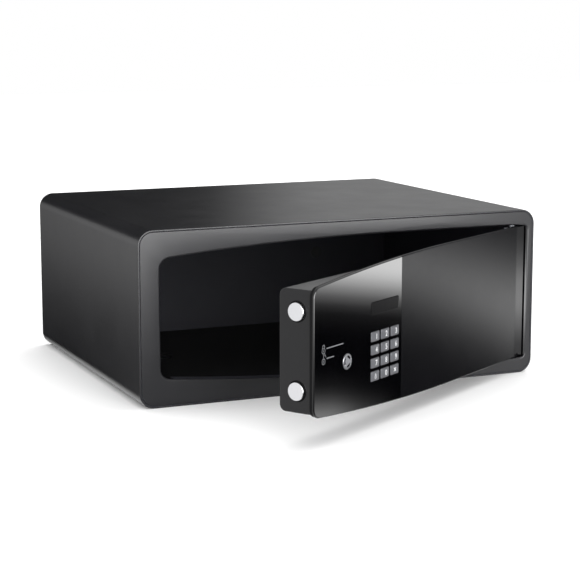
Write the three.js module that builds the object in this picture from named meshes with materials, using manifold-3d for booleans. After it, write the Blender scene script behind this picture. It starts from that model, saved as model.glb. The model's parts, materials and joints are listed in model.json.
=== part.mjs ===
// A laptop-size electronic hotel safe: a folded steel case, a front frame with a tapered opening, and a
// side-hinged door that stands ajar. Millimetres, +Z up, the front faces -Y, and the origin is the centre of
// the underside. Door pieces are drawn as if the door were shut, and their group is then swung about the hinge.
import * as THREE from "three";
import { mergeVertices } from "three/addons/utils/BufferGeometryUtils.js";
import Module from "manifold-3d";

// Case
const caseWidth = 490;
const caseHeight = 195;
const caseDepth = 390;
const caseCorner = 17;
const wall = 2;
const frameThickness = 3;
const backThickness = 2;
const fit = 0.3; // clearance between pieces that seat on each other

// Opening in the front frame: level on the hinge side, then an arc that narrows it to the free side
const stripFree = 24.5;
const stripHinge = 9;
const stripLevel = 18;
const levelLength = 180;
const taperDrop = 14;
const freeCorner = 12;
const hingeCorner = 6;

// Door panel and its hinge
const gapLevel = 1.2;
const gapFree = 1.2;
const gapHinge = 2;
const coverThickness = 2.2;
const coverBevel = 1.6;
const plateThickness = 3;
const plateInset = 0.6;
const hingeInset = 12.5;
const hingeDepth = 11;
const restAngle = 32.3;
const fasciaWidth = 167.2;

// Door housing, the folded tray behind the panel
const housingInset = 2.3;
const housingEndInset = 4;
const housingRear = 43.5;
const housingWall = 1.6;
const housingEdge = 7;

// Hinge parts
const pinRadius = 2.5;
const pinProud = 1.5;
const collarRadius = 4.5;
const bushWall = 1.4;
const bushFlange = 1;
const bushFlangeRadius = 6;
const bracketThickness = 3;
const bracketReach = 18;
const bracketHalfWidth = 10;
const bracketClear = 2.5;
const blockHalfWidth = 6.5;
const blockLength = 16;
const blockDrop = 2.5;
const pinFoot = 2;

// Bolts, their carriage and the strike plate
const boltRadius = 9.25;
const boltEdge = 22.2; // from the housing's edge at its free end to a bolt's axis
const boltDepth = 22.4;
const boltLength = 42;
const boltProud = 3;
const boltTravel = 15;
const boltChamfer = 0.8;
const bushRing = 1;
const bushLength = 8;
const boltBushFlange = 1.5;
const barThickness = 4;
const barHalfDepth = 7.5;
const barOverlap = 8;
const armHalfDepth = 2.5;
const armHeight = 6;
const runClear = 1.4;
const strikeThickness = 3;
const strikeSetback = 1.5;
const strikeClear = 1.25;
const strikeReach = 42;
const strikeMargin = 18;
const strikeFootClear = 2;

// Rack and pinion
const gearModule = 1;
const pinionTeeth = 14;
const pressureAngle = THREE.MathUtils.degToRad(20);
const addendum = 0.8;
const dedendum = 1.1;
const backlash = 0.25;
const rackSpare = 9;
const driveShaftRadius = 2;
const driveShaftLength = 12;

// Lock chassis and motor
const chassisThickness = 1.6;
const chassisDepth = 11.2;
const chassisEdge = 7.3; // from the housing's inside at the chassis's free end
const chassisWidth = 113;
const guideThickness = 2.5;
const guideReach = 22;
const footRadius = 4;
const gearboxWidth = 24;
const gearboxBelow = 19;
const gearboxAbove = 13;
const gearboxDepth = 14.5;
const motorRadius = 6.5;
const motorLength = 28;
const postRadius = 2.5;
const motorPostDrop = 13.5;
const motorPostSpacing = 16;

// Emergency override lock
const overrideAcross = 60.5;
const overrideBelow = 17.2;
const discRadius = 8;
const discProud = 0.6;
const discThickness = 2.6;
const slotDepth = 1.4;
const slotRadius = 5;
const slotWidth = 2.2;
const slotSpan = THREE.MathUtils.degToRad(52);
const slotCount = 3;
const slotStart = THREE.MathUtils.degToRad(55);
const overrideShaftRadius = 4;
const barrelRadius = 6.5;
const barrelFlangeRadius = 12;
const barrelLength = 17.5;
const camThickness = 4;
const camHubRadius = 7;
const camReach = 15;
const camFingerWidth = 5;
const camStart = THREE.MathUtils.degToRad(135);
const lugOffset = 13;
const lugWidth = 4;
const lugDrop = 11;

// Keypad and display
const keypadAcross = 133.4;
const keypadBelow = 21;
const keyPitchAcross = 19.5;
const keyPitchUp = 13.8;
const keyWidth = 15.9;
const keyHeight = 10.1;
const keyCorner = 1;
const keyProud = 1.2;
const keyTravel = 1.2;
const keyFlangeLip = 0.75;
const keyFlange = 1;
const keyBevel = 0.4;
const keyPostWidth = 6;
const keyPostHeight = 4;
const keyPostLength = 1.5;
const matThickness = 1;
const matRim = 2;
const matMargin = 3;
const domeRadius = 3.6;
const domeHeight = 1.5;
const boardThickness = 1.6;
const boardMargin = 4;
const displayAbove = 29.3;
const displayWidth = 54.6;
const displayHeight = 12.5;
const displayCorner = 2;
const displayLip = 1.2;

// Control board
const controlAcross = 224;
const controlWidth = 70;
const controlHeight = 70;
const boardPostRadius = 2.5;
const boardPostInset = 5;
const boardStandOff = 3.5;
const chipHeight = 2.1;
const ribbonWidth = 20;
const ribbonThickness = 0.8;
const ribbonRise = 10;
const ribbonLap = 5;

// Battery bay on the inside of the door
const cellRadius = 7.25;
const cellLength = 50.5;
const cellCount = 4;
const cellGap = 0.6;
const cellNub = 2.75;
const contactRoom = 1.5;
const bayAcross = 319;
const holderWall = 1.5;
const holderFlange = 5;
const lidThickness = 2;
const lidOverlap = 4;
const lidKnuckleRadius = 2.5;
const lidKnuckleLength = 20;
const lugLength = 10;
const lidPinRadius = 1;

// Housing fasteners
const studRadius = 4;
const studFreeInset = 54;
const studHingeInset = 44.3;
const studEdge = 10;
const screwRadius = 2;
const screwHeadRadius = 4;
const screwHeadHeight = 2.2;
const screwLength = 10;

// Anchors, cable hole and floor mat
const anchorRadius = 6;
const anchorSpacing = 280;
const anchorSetback = 235;
const cableHoleRadius = 11;
const cableHoleAcross = 45;
const cableHoleUp = 40;
const matSheet = 3;
const matSheetMargin = 2;
const matSheetCorner = 6;
const matHoleMargin = 9;
const leadRadius = 1.5;
const leadStraight = 6;

// Places worked out from the sizes
const mid = caseHeight / 2;
const front = -caseDepth / 2;
const openingFree = -caseWidth / 2 + stripFree;
const openingHinge = caseWidth / 2 - stripHinge;
const openingHalf = mid - stripLevel;
const taperStart = openingHinge - levelLength;
const taperLength = taperStart - openingFree;
const taperRadius = (taperLength ** 2 + taperDrop ** 2) / (2 * taperDrop);
const panelFree = openingFree + gapFree;
const panelHinge = openingHinge - gapHinge;
const plateFront = front + coverThickness + fit;
const plateRear = plateFront + plateThickness;
const axisX = panelHinge - hingeInset;
const axisY = front + hingeDepth;
const housingFree = panelFree + housingEndInset;
const housingHinge = axisX - blockHalfWidth - 2;
const housingBack = front + housingRear;
const boltY = front + boltDepth;
const boltTip = housingFree - boltProud;
const overrideX = panelFree + overrideAcross;
const overrideZ = mid - overrideBelow;
const keypadX = panelFree + keypadAcross;
const keypadZ = mid - keypadBelow;
const displayZ = mid + displayAbove;
const housingHalf = openingHalf - taperDrop - gapLevel - housingInset;
const boltSpacing = 2 * (housingHalf - boltEdge);
const bayX = panelFree + bayAcross;
const controlX = panelFree + controlAcross;
const pitchRadius = (gearModule * pinionTeeth) / 2;
const toothPitch = Math.PI * gearModule;
const rackZ = overrideZ + camReach + addendum + 2.4;
const pinionX = overrideX + lugOffset + lugWidth + 21;
const pinionZ = rackZ - pitchRadius;
const far = 2 * caseDepth;

const wasm = await Module();
wasm.setup();

// Solids and cuts

function solid(geometry) {
  const loose = geometry.index ? geometry.toNonIndexed() : geometry;
  const bare = new THREE.BufferGeometry().setAttribute("position", loose.getAttribute("position"));
  const merged = mergeVertices(bare, 1e-4);
  return new wasm.Manifold(
    new wasm.Mesh({
      numProp: 3,
      vertProperties: merged.attributes.position.array,
      triVerts: new Uint32Array(merged.index.array),
    }),
  );
}

function geometryOf(manifold) {
  const mesh = manifold.getMesh();
  const geometry = new THREE.BufferGeometry();
  geometry.setAttribute("position", new THREE.BufferAttribute(new Float32Array(mesh.vertProperties), 3));
  geometry.setIndex(new THREE.BufferAttribute(new Uint32Array(mesh.triVerts), 1));
  return geometry;
}

const join = (...pieces) => geometryOf(pieces.map(solid).reduce((sum, piece) => sum.add(piece)));
const cut = (body, ...tools) =>
  geometryOf(tools.map(solid).reduce((rest, tool) => rest.subtract(tool), solid(body)));
const common = (first, second) => geometryOf(solid(first).intersect(solid(second)));

// Basic shapes: x, y and z are [low, high] pairs

function block(x, y, z) {
  const box = new THREE.BoxGeometry(x[1] - x[0], y[1] - y[0], z[1] - z[0]);
  return box.translate((x[0] + x[1]) / 2, (y[0] + y[1]) / 2, (z[0] + z[1]) / 2);
}

function rodX(x, y, z, radius, sides = 16) {
  const rod = new THREE.CylinderGeometry(radius, radius, x[1] - x[0], sides).rotateZ(Math.PI / 2);
  return rod.translate((x[0] + x[1]) / 2, y, z);
}

function rodY(x, y, z, radius, sides = 16, rearRadius = radius) {
  const rod = new THREE.CylinderGeometry(rearRadius, radius, y[1] - y[0], sides);
  return rod.translate(x, (y[0] + y[1]) / 2, z);
}

function rodZ(x, y, z, radius, sides = 16) {
  const rod = new THREE.CylinderGeometry(radius, radius, z[1] - z[0], sides).rotateX(Math.PI / 2);
  return rod.translate(x, y, (z[0] + z[1]) / 2);
}

// The points of a path, without the near-doubles that meeting arcs leave
function pointsOf(path, divisions) {
  const all = path.getPoints(divisions);
  return all.filter((point, i) => point.distanceTo(all[(i + 1) % all.length]) > 1e-3);
}

// A flat piece whose outline lies in X and Z and whose thickness runs along Y
function plate(outline, y, holes = [], divisions = 4, bevel = 0) {
  const shape = new THREE.Shape(pointsOf(outline, divisions));
  shape.holes = holes.map((hole) => new THREE.Path(pointsOf(hole, divisions)));
  const geometry = new THREE.ExtrudeGeometry(shape, {
    depth: y[1] - y[0] - 2 * bevel,
    bevelEnabled: bevel > 0,
    bevelThickness: bevel,
    bevelSize: bevel,
    bevelOffset: -bevel,
    bevelSegments: bevel > 2 ? 3 : 1,
  });
  return geometry.rotateX(Math.PI / 2).translate(0, y[1] - bevel, 0);
}

function rounded(x, z, corner) {
  const path = new THREE.Shape();
  path.absarc(x[1] - corner, z[1] - corner, corner, 0, Math.PI / 2);
  path.absarc(x[0] + corner, z[1] - corner, corner, Math.PI / 2, Math.PI);
  path.absarc(x[0] + corner, z[0] + corner, corner, Math.PI, 1.5 * Math.PI);
  path.absarc(x[1] - corner, z[0] + corner, corner, 1.5 * Math.PI, 2 * Math.PI);
  path.closePath();
  return path;
}

// A flat piece whose outline lies in X and Y and whose thickness runs along Z
function sheet(outline, z) {
  const shape = new THREE.Shape(pointsOf(outline, 4));
  return new THREE.ExtrudeGeometry(shape, { depth: z[1] - z[0], bevelEnabled: false }).translate(0, 0, z[0]);
}

const about = (centre, size) => [centre - size / 2, centre + size / 2];
const roundedAbout = (x, z, width, height, corner) => rounded(about(x, width), about(z, height), corner);

// The tapered outline, set in from the opening: level at the hinge side, narrowing in an arc to the free side
function tapered(inset, free, hinge, corner, hingeSideCorner = corner) {
  const half = openingHalf - inset;
  const radius = taperRadius - inset;
  const sink = taperRadius - openingHalf;
  const filletX = free + corner;
  const filletZ = Math.sqrt((radius - corner) ** 2 - (filletX - taperStart) ** 2) - sink;
  const turn = Math.atan2(filletZ + sink, filletX - taperStart);
  const path = new THREE.Shape();
  path.absarc(hinge - hingeSideCorner, mid + half - hingeSideCorner, hingeSideCorner, 0, Math.PI / 2);
  path.absarc(taperStart, mid - sink, radius, Math.PI / 2, turn);
  path.absarc(filletX, mid + filletZ, corner, turn, Math.PI);
  path.absarc(filletX, mid - filletZ, corner, Math.PI, 2 * Math.PI - turn);
  path.absarc(taperStart, mid + sink, radius, 2 * Math.PI - turn, 1.5 * Math.PI);
  path.absarc(hinge - hingeSideCorner, mid - half + hingeSideCorner, hingeSideCorner, 1.5 * Math.PI, 2 * Math.PI);
  path.closePath();
  return path;
}

// Materials
const finish = (color, roughness, metalness) => new THREE.MeshStandardMaterial({ color, roughness, metalness });
const powderCoat = finish(0x3a3a40, 0.5, 0.3);
const gloss = finish(0x0a0a0c, 0.08, 0);
const blackPlastic = finish(0x17171a, 0.5, 0);
const zincSteel = finish(0x9a9ca0, 0.35, 0.9);
const polishedSteel = finish(0xd8d8da, 0.15, 1);
const satinKey = finish(0x8c8d91, 0.4, 0.6);
const rubber = finish(0x141416, 0.9, 0);
const circuitBoard = finish(0x1f5a38, 0.5, 0);
const brass = finish(0xb08d4a, 0.35, 0.9);
const cellSleeve = finish(0x3f4f5c, 0.4, 0.2);
const cableSleeve = finish(0x55585c, 0.6, 0);

const safe = new THREE.Group();
const swing = new THREE.Group();
swing.position.set(axisX, axisY, 0);
swing.rotation.z = THREE.MathUtils.degToRad(restAngle);
const door = new THREE.Group();
door.position.set(-axisX, -axisY, 0);
swing.add(door);
safe.add(swing);

function place(group, name, geometry, material) {
  const mesh = new THREE.Mesh(geometry, material);
  mesh.name = name;
  group.add(mesh);
}

// Case: the folded wrap, the back, the front frame and the floor mat
const inner = wall + fit;
const anchorY = front + anchorSetback;
const anchorXs = [-anchorSpacing / 2, anchorSpacing / 2];
const innerOutline = () =>
  rounded([-caseWidth / 2 + inner, caseWidth / 2 - inner], [inner, caseHeight - inner], caseCorner - inner);

place(
  safe,
  "case_wrap",
  cut(
    plate(rounded([-caseWidth / 2, caseWidth / 2], [0, caseHeight], caseCorner), [front, -front], [
      rounded([-caseWidth / 2 + wall, caseWidth / 2 - wall], [wall, caseHeight - wall], caseCorner - wall),
    ]),
    ...anchorXs.map((x) => rodZ(x, anchorY, [-wall, 2 * wall], anchorRadius)),
  ),
  powderCoat,
);
place(
  safe,
  "back_panel",
  cut(
    plate(innerOutline(), [-front - backThickness, -front]),
    ...anchorXs.map((x) => rodY(x, [0, far], mid, anchorRadius)),
    rodY(-caseWidth / 2 + cableHoleAcross, [0, far], cableHoleUp, cableHoleRadius),
  ),
  powderCoat,
);
place(
  safe,
  "front_frame",
  plate(innerOutline(), [front, front + frameThickness], [
    tapered(0, openingFree, openingHinge, freeCorner, hingeCorner),
  ]),
  powderCoat,
);
const matHalfWidth = caseWidth / 2 - caseCorner - matSheetMargin;
const matDepth = [front + frameThickness + matSheetMargin, -front - backThickness - matSheetMargin];
place(
  safe,
  "floor_mat",
  cut(
    sheet(rounded([-matHalfWidth, matHalfWidth], matDepth, matSheetCorner), [inner, inner + matSheet]),
    ...anchorXs.map((x) => rodZ(x, anchorY, [0, far], anchorRadius + matHoleMargin)),
  ),
  rubber,
);

// Hinges: a bracket behind the frame carries a flanged bush, and the door carries a block and a collared pin.
// A hinge's heights are distances from the middle height, and side is 1 for the upper hinge, -1 for the lower.
const tabStart = openingHalf + bracketClear;
const tabEnd = tabStart + bracketThickness;
const leafEnd = mid - inner - matSheet - fit;
const blockEnd = openingHalf - gapLevel - blockDrop;
const bushRadius = pinRadius + fit + bushWall;
const bracketY = front + frameThickness + fit;

for (const [where, side] of [["upper", 1], ["lower", -1]]) {
  const heights = (from, to) => [mid + side * from, mid + side * to].sort((a, b) => a - b);
  const bracketX = about(axisX, 2 * bracketHalfWidth);
  const flangeStart = tabStart - fit - bushFlange;
  const bracket = join(
    block(bracketX, [bracketY, bracketY + bracketThickness], heights(tabStart, leafEnd)),
    block(bracketX, [bracketY, bracketY + bracketReach], heights(tabStart, tabEnd)),
  );
  const bush = join(
    rodZ(axisX, axisY, heights(flangeStart, tabEnd + fit), bushRadius),
    rodZ(axisX, axisY, heights(flangeStart, flangeStart + bushFlange), bushFlangeRadius),
  );
  const hingeBlock = block(
    about(axisX, 2 * blockHalfWidth),
    [plateRear + fit, axisY + blockHalfWidth],
    heights(blockEnd - blockLength, blockEnd),
  );
  const pin = join(
    rodZ(axisX, axisY, heights(blockEnd - blockLength + pinFoot + fit, tabEnd + pinProud), pinRadius),
    rodZ(axisX, axisY, heights(blockEnd + fit, flangeStart - fit), collarRadius),
  );
  const bore = (from, to, radius) => rodZ(axisX, axisY, heights(from, to), radius);
  place(safe, `hinge_bracket_${where}`, cut(bracket, bore(openingHalf, mid, bushRadius + fit)), powderCoat);
  place(safe, `hinge_bush_${where}`, cut(bush, bore(openingHalf, mid, pinRadius + fit)), brass);
  place(
    door,
    `hinge_block_${where}`,
    cut(hingeBlock, bore(blockEnd - blockLength + pinFoot, mid, pinRadius + fit)),
    zincSteel,
  );
  place(door, `hinge_pin_${where}`, pin, zincSteel);
}

// Strike plate: an angle behind the free side of the frame, with a hole for each bolt
const boltZs = { upper: mid + boltSpacing / 2, lower: mid - boltSpacing / 2 };
const strikeX = openingFree - strikeSetback;
const strikeZ = about(mid, boltSpacing + 2 * strikeMargin);
place(
  safe,
  "strike_plate",
  cut(
    join(
      block([strikeX - strikeThickness, strikeX], [bracketY, bracketY + strikeReach], strikeZ),
      block([-caseWidth / 2 + wall + strikeFootClear, strikeX], [bracketY, bracketY + strikeThickness], strikeZ),
    ),
    ...Object.values(boltZs).map((z) => rodX([-far, far], boltY, z, boltRadius + strikeClear, 24)),
  ),
  zincSteel,
);

// Door panel: a gloss fascia on the free side and a satin skin on the hinge side, in front of a steel plate
const panelCorner = freeCorner - gapFree;
const panelHingeCorner = hingeCorner - gapLevel;
const panelBlank = plate(
  tapered(gapLevel, panelFree, panelHinge, panelCorner, panelHingeCorner),
  [front, front + coverThickness + coverBevel],
  [],
  4,
  coverBevel,
);
const coverY = [front - far, front + coverThickness];
const throughY = [front - far, front + far];
const splitX = panelFree + fasciaWidth;
const keyNames = [
  ["key_1", "key_2", "key_3"],
  ["key_4", "key_5", "key_6"],
  ["key_7", "key_8", "key_9"],
  ["key_lock", "key_0", "key_clear"],
];
const keyRows = keyNames.length;
const keyColumns = keyNames[0].length;
const keys = keyNames.flatMap((row, i) =>
  row.map((name, j) => ({
    name,
    x: keypadX + (j - (keyColumns - 1) / 2) * keyPitchAcross,
    z: keypadZ - (i - (keyRows - 1) / 2) * keyPitchUp,
  })),
);
const lensWindow = roundedAbout(
  keypadX,
  displayZ,
  displayWidth + 2 * fit,
  displayHeight + 2 * fit,
  displayCorner + fit,
);

place(
  door,
  "control_fascia",
  cut(
    common(panelBlank, block([-far, splitX - fit / 2], coverY, [0, caseHeight])),
    ...keys.map(({ x, z }) =>
      plate(roundedAbout(x, z, keyWidth + 2 * fit, keyHeight + 2 * fit, keyCorner + fit), throughY, [], 2),
    ),
    plate(lensWindow, throughY),
    rodY(overrideX, throughY, overrideZ, discRadius + fit, 24),
  ),
  gloss,
);
place(
  door,
  "door_skin",
  common(panelBlank, block([splitX + fit / 2, far], coverY, [0, caseHeight])),
  powderCoat,
);
place(
  door,
  "display_lens",
  plate(roundedAbout(keypadX, displayZ, displayWidth, displayHeight, displayCorner), [
    front,
    front + coverThickness,
  ]),
  gloss,
);

// Steel door plate with the windows of the keypad, display and override lock, and its welded studs and posts
const keypadHalfWidth = ((keyColumns - 1) * keyPitchAcross + keyWidth) / 2 + keyFlangeLip + fit;
const keypadHalfHeight = ((keyRows - 1) * keyPitchUp + keyHeight) / 2 + keyFlangeLip + fit;
const displayNoseWidth = displayWidth - 2 * displayLip;
const displayNoseHeight = displayHeight - 2 * displayLip;
const housingInner = housingHalf - housingWall;
const studs = [panelFree + studFreeInset, panelHinge - studHingeInset].flatMap((x) =>
  [1, -1].map((side) => ({ x, z: mid + side * (housingInner - studEdge) })),
);
const studEnd = housingBack - housingWall - fit;
const boardFront = plateRear + fit + boardStandOff;
const boardRear = boardFront + boardThickness;
const controlZ = mid;
const controlCorners = [-1, 1].flatMap((i) =>
  [-1, 1].map((j) => ({
    x: controlX + i * (controlWidth / 2 - boardPostInset),
    z: controlZ + j * (controlHeight / 2 - boardPostInset),
  })),
);

place(
  door,
  "door_plate",
  cut(
    join(
      plate(
        tapered(
          gapLevel + plateInset,
          panelFree + plateInset,
          panelHinge - plateInset,
          panelCorner - plateInset,
          panelHingeCorner - plateInset,
        ),
        [plateFront, plateRear],
        [
          rounded(about(keypadX, 2 * keypadHalfWidth), about(keypadZ, 2 * keypadHalfHeight), keyCorner),
          roundedAbout(keypadX, displayZ, displayNoseWidth, displayNoseHeight, keyCorner),
        ],
      ),
      ...studs.map(({ x, z }) => rodY(x, [plateFront + fit, studEnd], z, studRadius)),
      ...controlCorners.map(({ x, z }) => rodY(x, [plateFront + fit, boardFront - fit], z, boardPostRadius, 12)),
    ),
    rodY(overrideX, throughY, overrideZ, barrelRadius + fit, 24),
    ...studs.map(({ x, z }) =>
      rodY(x, [housingBack - screwLength - screwHeadHeight, far], z, screwRadius + fit, 12),
    ),
  ),
  zincSteel,
);

// Keypad: each key has a cap, a lip behind the fascia and a post that presses a dome of the mat
const capRear = plateFront + keyFlange;
const postRear = capRear + keyPostLength;
const domeFront = postRear + keyTravel + fit;
const matFront = domeFront + domeHeight;
const matRear = matFront + matThickness;

for (const { name, x, z } of keys) {
  const cap = roundedAbout(x, z, keyWidth, keyHeight, keyCorner);
  const lip = roundedAbout(x, z, keyWidth + 2 * keyFlangeLip, keyHeight + 2 * keyFlangeLip, keyCorner);
  place(
    door,
    name,
    join(
      plate(cap, [front - keyProud, capRear], [], 2, keyBevel),
      plate(lip, [plateFront, capRear], [], 1),
      block(about(x, keyPostWidth), [capRear - fit, postRear], about(z, keyPostHeight)),
    ),
    satinKey,
  );
}
const matHalfX = keypadHalfWidth + matMargin;
const matHalfZ = keypadHalfHeight + matMargin;
place(
  door,
  "key_mat",
  join(
    cut(
      block(about(keypadX, 2 * matHalfX), [plateRear + fit, matRear], about(keypadZ, 2 * matHalfZ)),
      block(
        about(keypadX, 2 * (matHalfX - matRim)),
        [front, matFront],
        about(keypadZ, 2 * (matHalfZ - matRim)),
      ),
    ),
    ...keys.map(({ x, z }) => rodY(x, [domeFront, matFront + fit], z, domeRadius - 1, 12, domeRadius)),
  ),
  rubber,
);
const keypadBoardFront = matRear + fit;
place(
  door,
  "keypad_board",
  block(
    about(keypadX, 2 * (matHalfX + boardMargin)),
    [keypadBoardFront, keypadBoardFront + boardThickness],
    [keypadZ - matHalfZ, displayZ + displayHeight / 2 + boardMargin],
  ),
  circuitBoard,
);
place(
  door,
  "display_module",
  join(
    block(
      about(keypadX, displayNoseWidth - 2 * fit),
      [front + coverThickness + fit, keypadBoardFront - fit],
      about(displayZ, displayNoseHeight - 2 * fit),
    ),
    block(about(keypadX, displayWidth), [plateRear + fit, keypadBoardFront - fit], about(displayZ, displayHeight)),
  ),
  blackPlastic,
);

// Door housing with the bolt holes, the battery window, the screw holes and the lid's hinge lugs
function tray(half, free, hinge, rear, edge, trayFront) {
  const outline = rounded([free - 2 * edge, hinge], about(mid, 2 * half), edge + 1);
  const blank = plate(outline, [front, rear], [], 4, edge);
  return common(blank, block([free, far], [trayFront, far], [0, caseHeight]));
}
const cellPitch = 2 * cellRadius + cellGap;
const pocketWidth = cellLength + 2 * contactRoom;
const pocketHeight = cellCount * cellPitch + cellGap;
const pocketFloor = studEnd - 2 * cellRadius - 2 * fit;
const lidHalfWidth = pocketWidth / 2 + lidOverlap;
const lidHalfHeight = pocketHeight / 2 + lidOverlap;
const lidAxisY = housingBack + fit + lidKnuckleRadius;
const lidAxisZ = mid - lidHalfHeight - lidKnuckleRadius - 2 * fit;
const bushOuter = boltRadius + fit + bushRing;

const lidLugs = [-1, 1].flatMap((side) => {
  const start = lidKnuckleLength / 2 + fit;
  const x = [bayX + side * start, bayX + side * (start + lugLength)].sort((a, b) => a - b);
  return [
    rodX(x, lidAxisY, lidAxisZ, lidKnuckleRadius, 16),
    block(x, [housingBack - housingWall / 2, lidAxisY], about(lidAxisZ, 2 * lidKnuckleRadius)),
  ];
});
place(
  door,
  "door_housing",
  cut(
    join(
      cut(
        tray(housingHalf, housingFree, housingHinge, housingBack, housingEdge, plateRear + fit),
        tray(
          housingInner,
          housingFree + housingWall,
          housingHinge - housingWall,
          housingBack - housingWall,
          housingEdge - housingWall,
          front,
        ),
      ),
      ...lidLugs,
    ),
    ...Object.values(boltZs).map((z) =>
      rodX([housingFree - housingWall, housingFree + 2 * housingWall], boltY, z, bushOuter + fit, 24),
    ),
    plate(roundedAbout(bayX, mid, pocketWidth, pocketHeight, 1), [studEnd, far], [], 2),
    ...studs.map(({ x, z }) => rodY(x, [studEnd, far], z, screwRadius + fit, 12)),
    rodX([-far, far], lidAxisY, lidAxisZ, lidPinRadius + fit, 12),
  ),
  powderCoat,
);
studs.forEach(({ x, z }, i) => {
  const seat = housingBack + fit;
  place(
    door,
    `housing_screw_${i + 1}`,
    cut(
      join(
        rodY(x, [seat, seat + screwHeadHeight], z, screwHeadRadius, 20),
        rodY(x, [seat - screwLength, seat + fit], z, screwRadius, 12),
      ),
      rodY(x, [seat + screwHeadHeight / 2, far], z, screwHeadRadius / 2, 6),
    ),
    zincSteel,
  );
});

// Bolts: each slides in a flanged bush in the housing's end and is tied to the other by the bolt bar
const bushFlangeX = housingFree + housingWall + fit;
const chassisFree = housingFree + bushLength + fit;
for (const [where, z] of Object.entries(boltZs)) {
  place(
    door,
    `bolt_bush_${where}`,
    cut(
      join(
        rodX([housingFree - fit, housingFree + bushLength], boltY, z, bushOuter, 24),
        rodX([bushFlangeX, bushFlangeX + boltBushFlange], boltY, z, bushOuter + boltBushFlange, 24),
      ),
      rodX([-far, far], boltY, z, boltRadius + fit, 24),
    ),
    blackPlastic,
  );
  const profile = [
    [0, 0],
    [boltRadius - boltChamfer, 0],
    [boltRadius, boltChamfer],
    [boltRadius, boltLength],
    [0, boltLength],
  ].map(([radius, along]) => new THREE.Vector2(radius, along));
  const bolt = new THREE.LatheGeometry(profile, 24).rotateZ(-Math.PI / 2);
  place(door, `bolt_${where}`, bolt.translate(boltTip, boltY, z), polishedSteel);
}

// Bolt bar: a cross plate behind the bolts, and an arm with the rack and the lug that the override cam pushes
const barX = boltTip + boltLength + fit;
const armY = about(boltY, 2 * armHalfDepth);
const armBottom = rackZ + dedendum;
const armTop = armBottom + armHeight;
const armEnd = pinionX + boltTravel + rackSpare + gearModule;
const camFront = armY[1] + runClear;
const camY = [camFront, camFront + camThickness];
const flank = Math.tan(pressureAngle);
const rackHalf = (toothPitch / 2 - backlash) / 2;

function rackOutline() {
  const outline = new THREE.Shape();
  outline.moveTo(barX + barThickness / 2, armTop);
  outline.lineTo(barX + barThickness / 2, armBottom);
  const first = pinionX - toothPitch * (Math.floor(rackSpare / toothPitch) + 0.5);
  for (let x = first; x < armEnd - toothPitch / 2; x += toothPitch) {
    outline.lineTo(x - rackHalf - dedendum * flank, armBottom);
    outline.lineTo(x - rackHalf + addendum * flank, rackZ - addendum);
    outline.lineTo(x + rackHalf - addendum * flank, rackZ - addendum);
    outline.lineTo(x + rackHalf + dedendum * flank, armBottom);
  }
  outline.lineTo(armEnd, armBottom);
  outline.lineTo(armEnd, armTop);
  outline.closePath();
  return outline;
}
place(
  door,
  "bolt_bar",
  join(
    block([barX, barX + barThickness], about(boltY, 2 * barHalfDepth), about(mid, boltSpacing + 2 * barOverlap)),
    plate(rackOutline(), armY),
    block(
      [overrideX + lugOffset, overrideX + lugOffset + lugWidth],
      [armY[0], camY[1]],
      [armBottom - lugDrop, armBottom + gearModule],
    ),
  ),
  zincSteel,
);

// Drive pinion: involute teeth, with one tooth straight up into a gap of the rack
function pinionOutline() {
  const base = pitchRadius * Math.cos(pressureAngle);
  const tip = pitchRadius + addendum;
  const root = pitchRadius - dedendum;
  const involute = (radius) => {
    const roll = Math.sqrt((radius / base) ** 2 - 1);
    return roll - Math.atan(roll);
  };
  const halfAtPitch = (toothPitch / 2 - backlash) / (2 * pitchRadius);
  const halfAt = (radius) => halfAtPitch + involute(pitchRadius) - involute(Math.max(radius, base));
  const radii = [root, base, (base + tip) / 2, tip];
  const points = [];
  for (let tooth = 0; tooth < pinionTeeth; tooth++) {
    const centre = Math.PI / 2 + (2 * Math.PI * tooth) / pinionTeeth;
    const at = (radius, angle) =>
      new THREE.Vector2(pinionX + radius * Math.cos(angle), pinionZ + radius * Math.sin(angle));
    radii.forEach((radius) => points.push(at(radius, centre - halfAt(radius))));
    [...radii].reverse().forEach((radius) => points.push(at(radius, centre + halfAt(radius))));
  }
  return new THREE.Shape(points);
}
const gearboxY = [camFront, camFront + gearboxDepth];
place(
  door,
  "drive_pinion",
  cut(plate(pinionOutline(), armY), rodY(pinionX, throughY, pinionZ, driveShaftRadius + fit, 16)),
  brass,
);
place(
  door,
  "drive_shaft",
  rodY(pinionX, [armY[0] - gearModule, armY[0] - gearModule + driveShaftLength], pinionZ, driveShaftRadius, 16),
  zincSteel,
);
place(
  door,
  "gear_motor",
  cut(
    join(
      block(about(pinionX, gearboxWidth), gearboxY, [pinionZ - gearboxBelow, pinionZ + gearboxAbove]),
      rodX(
        [pinionX + gearboxWidth / 2 - fit, pinionX + gearboxWidth / 2 + motorLength],
        camFront + gearboxDepth / 2,
        pinionZ,
        motorRadius,
      ),
    ),
    rodY(
      pinionX,
      [front, armY[0] - gearModule + driveShaftLength + fit],
      pinionZ,
      driveShaftRadius + fit,
      16,
    ),
  ),
  blackPlastic,
);

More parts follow.
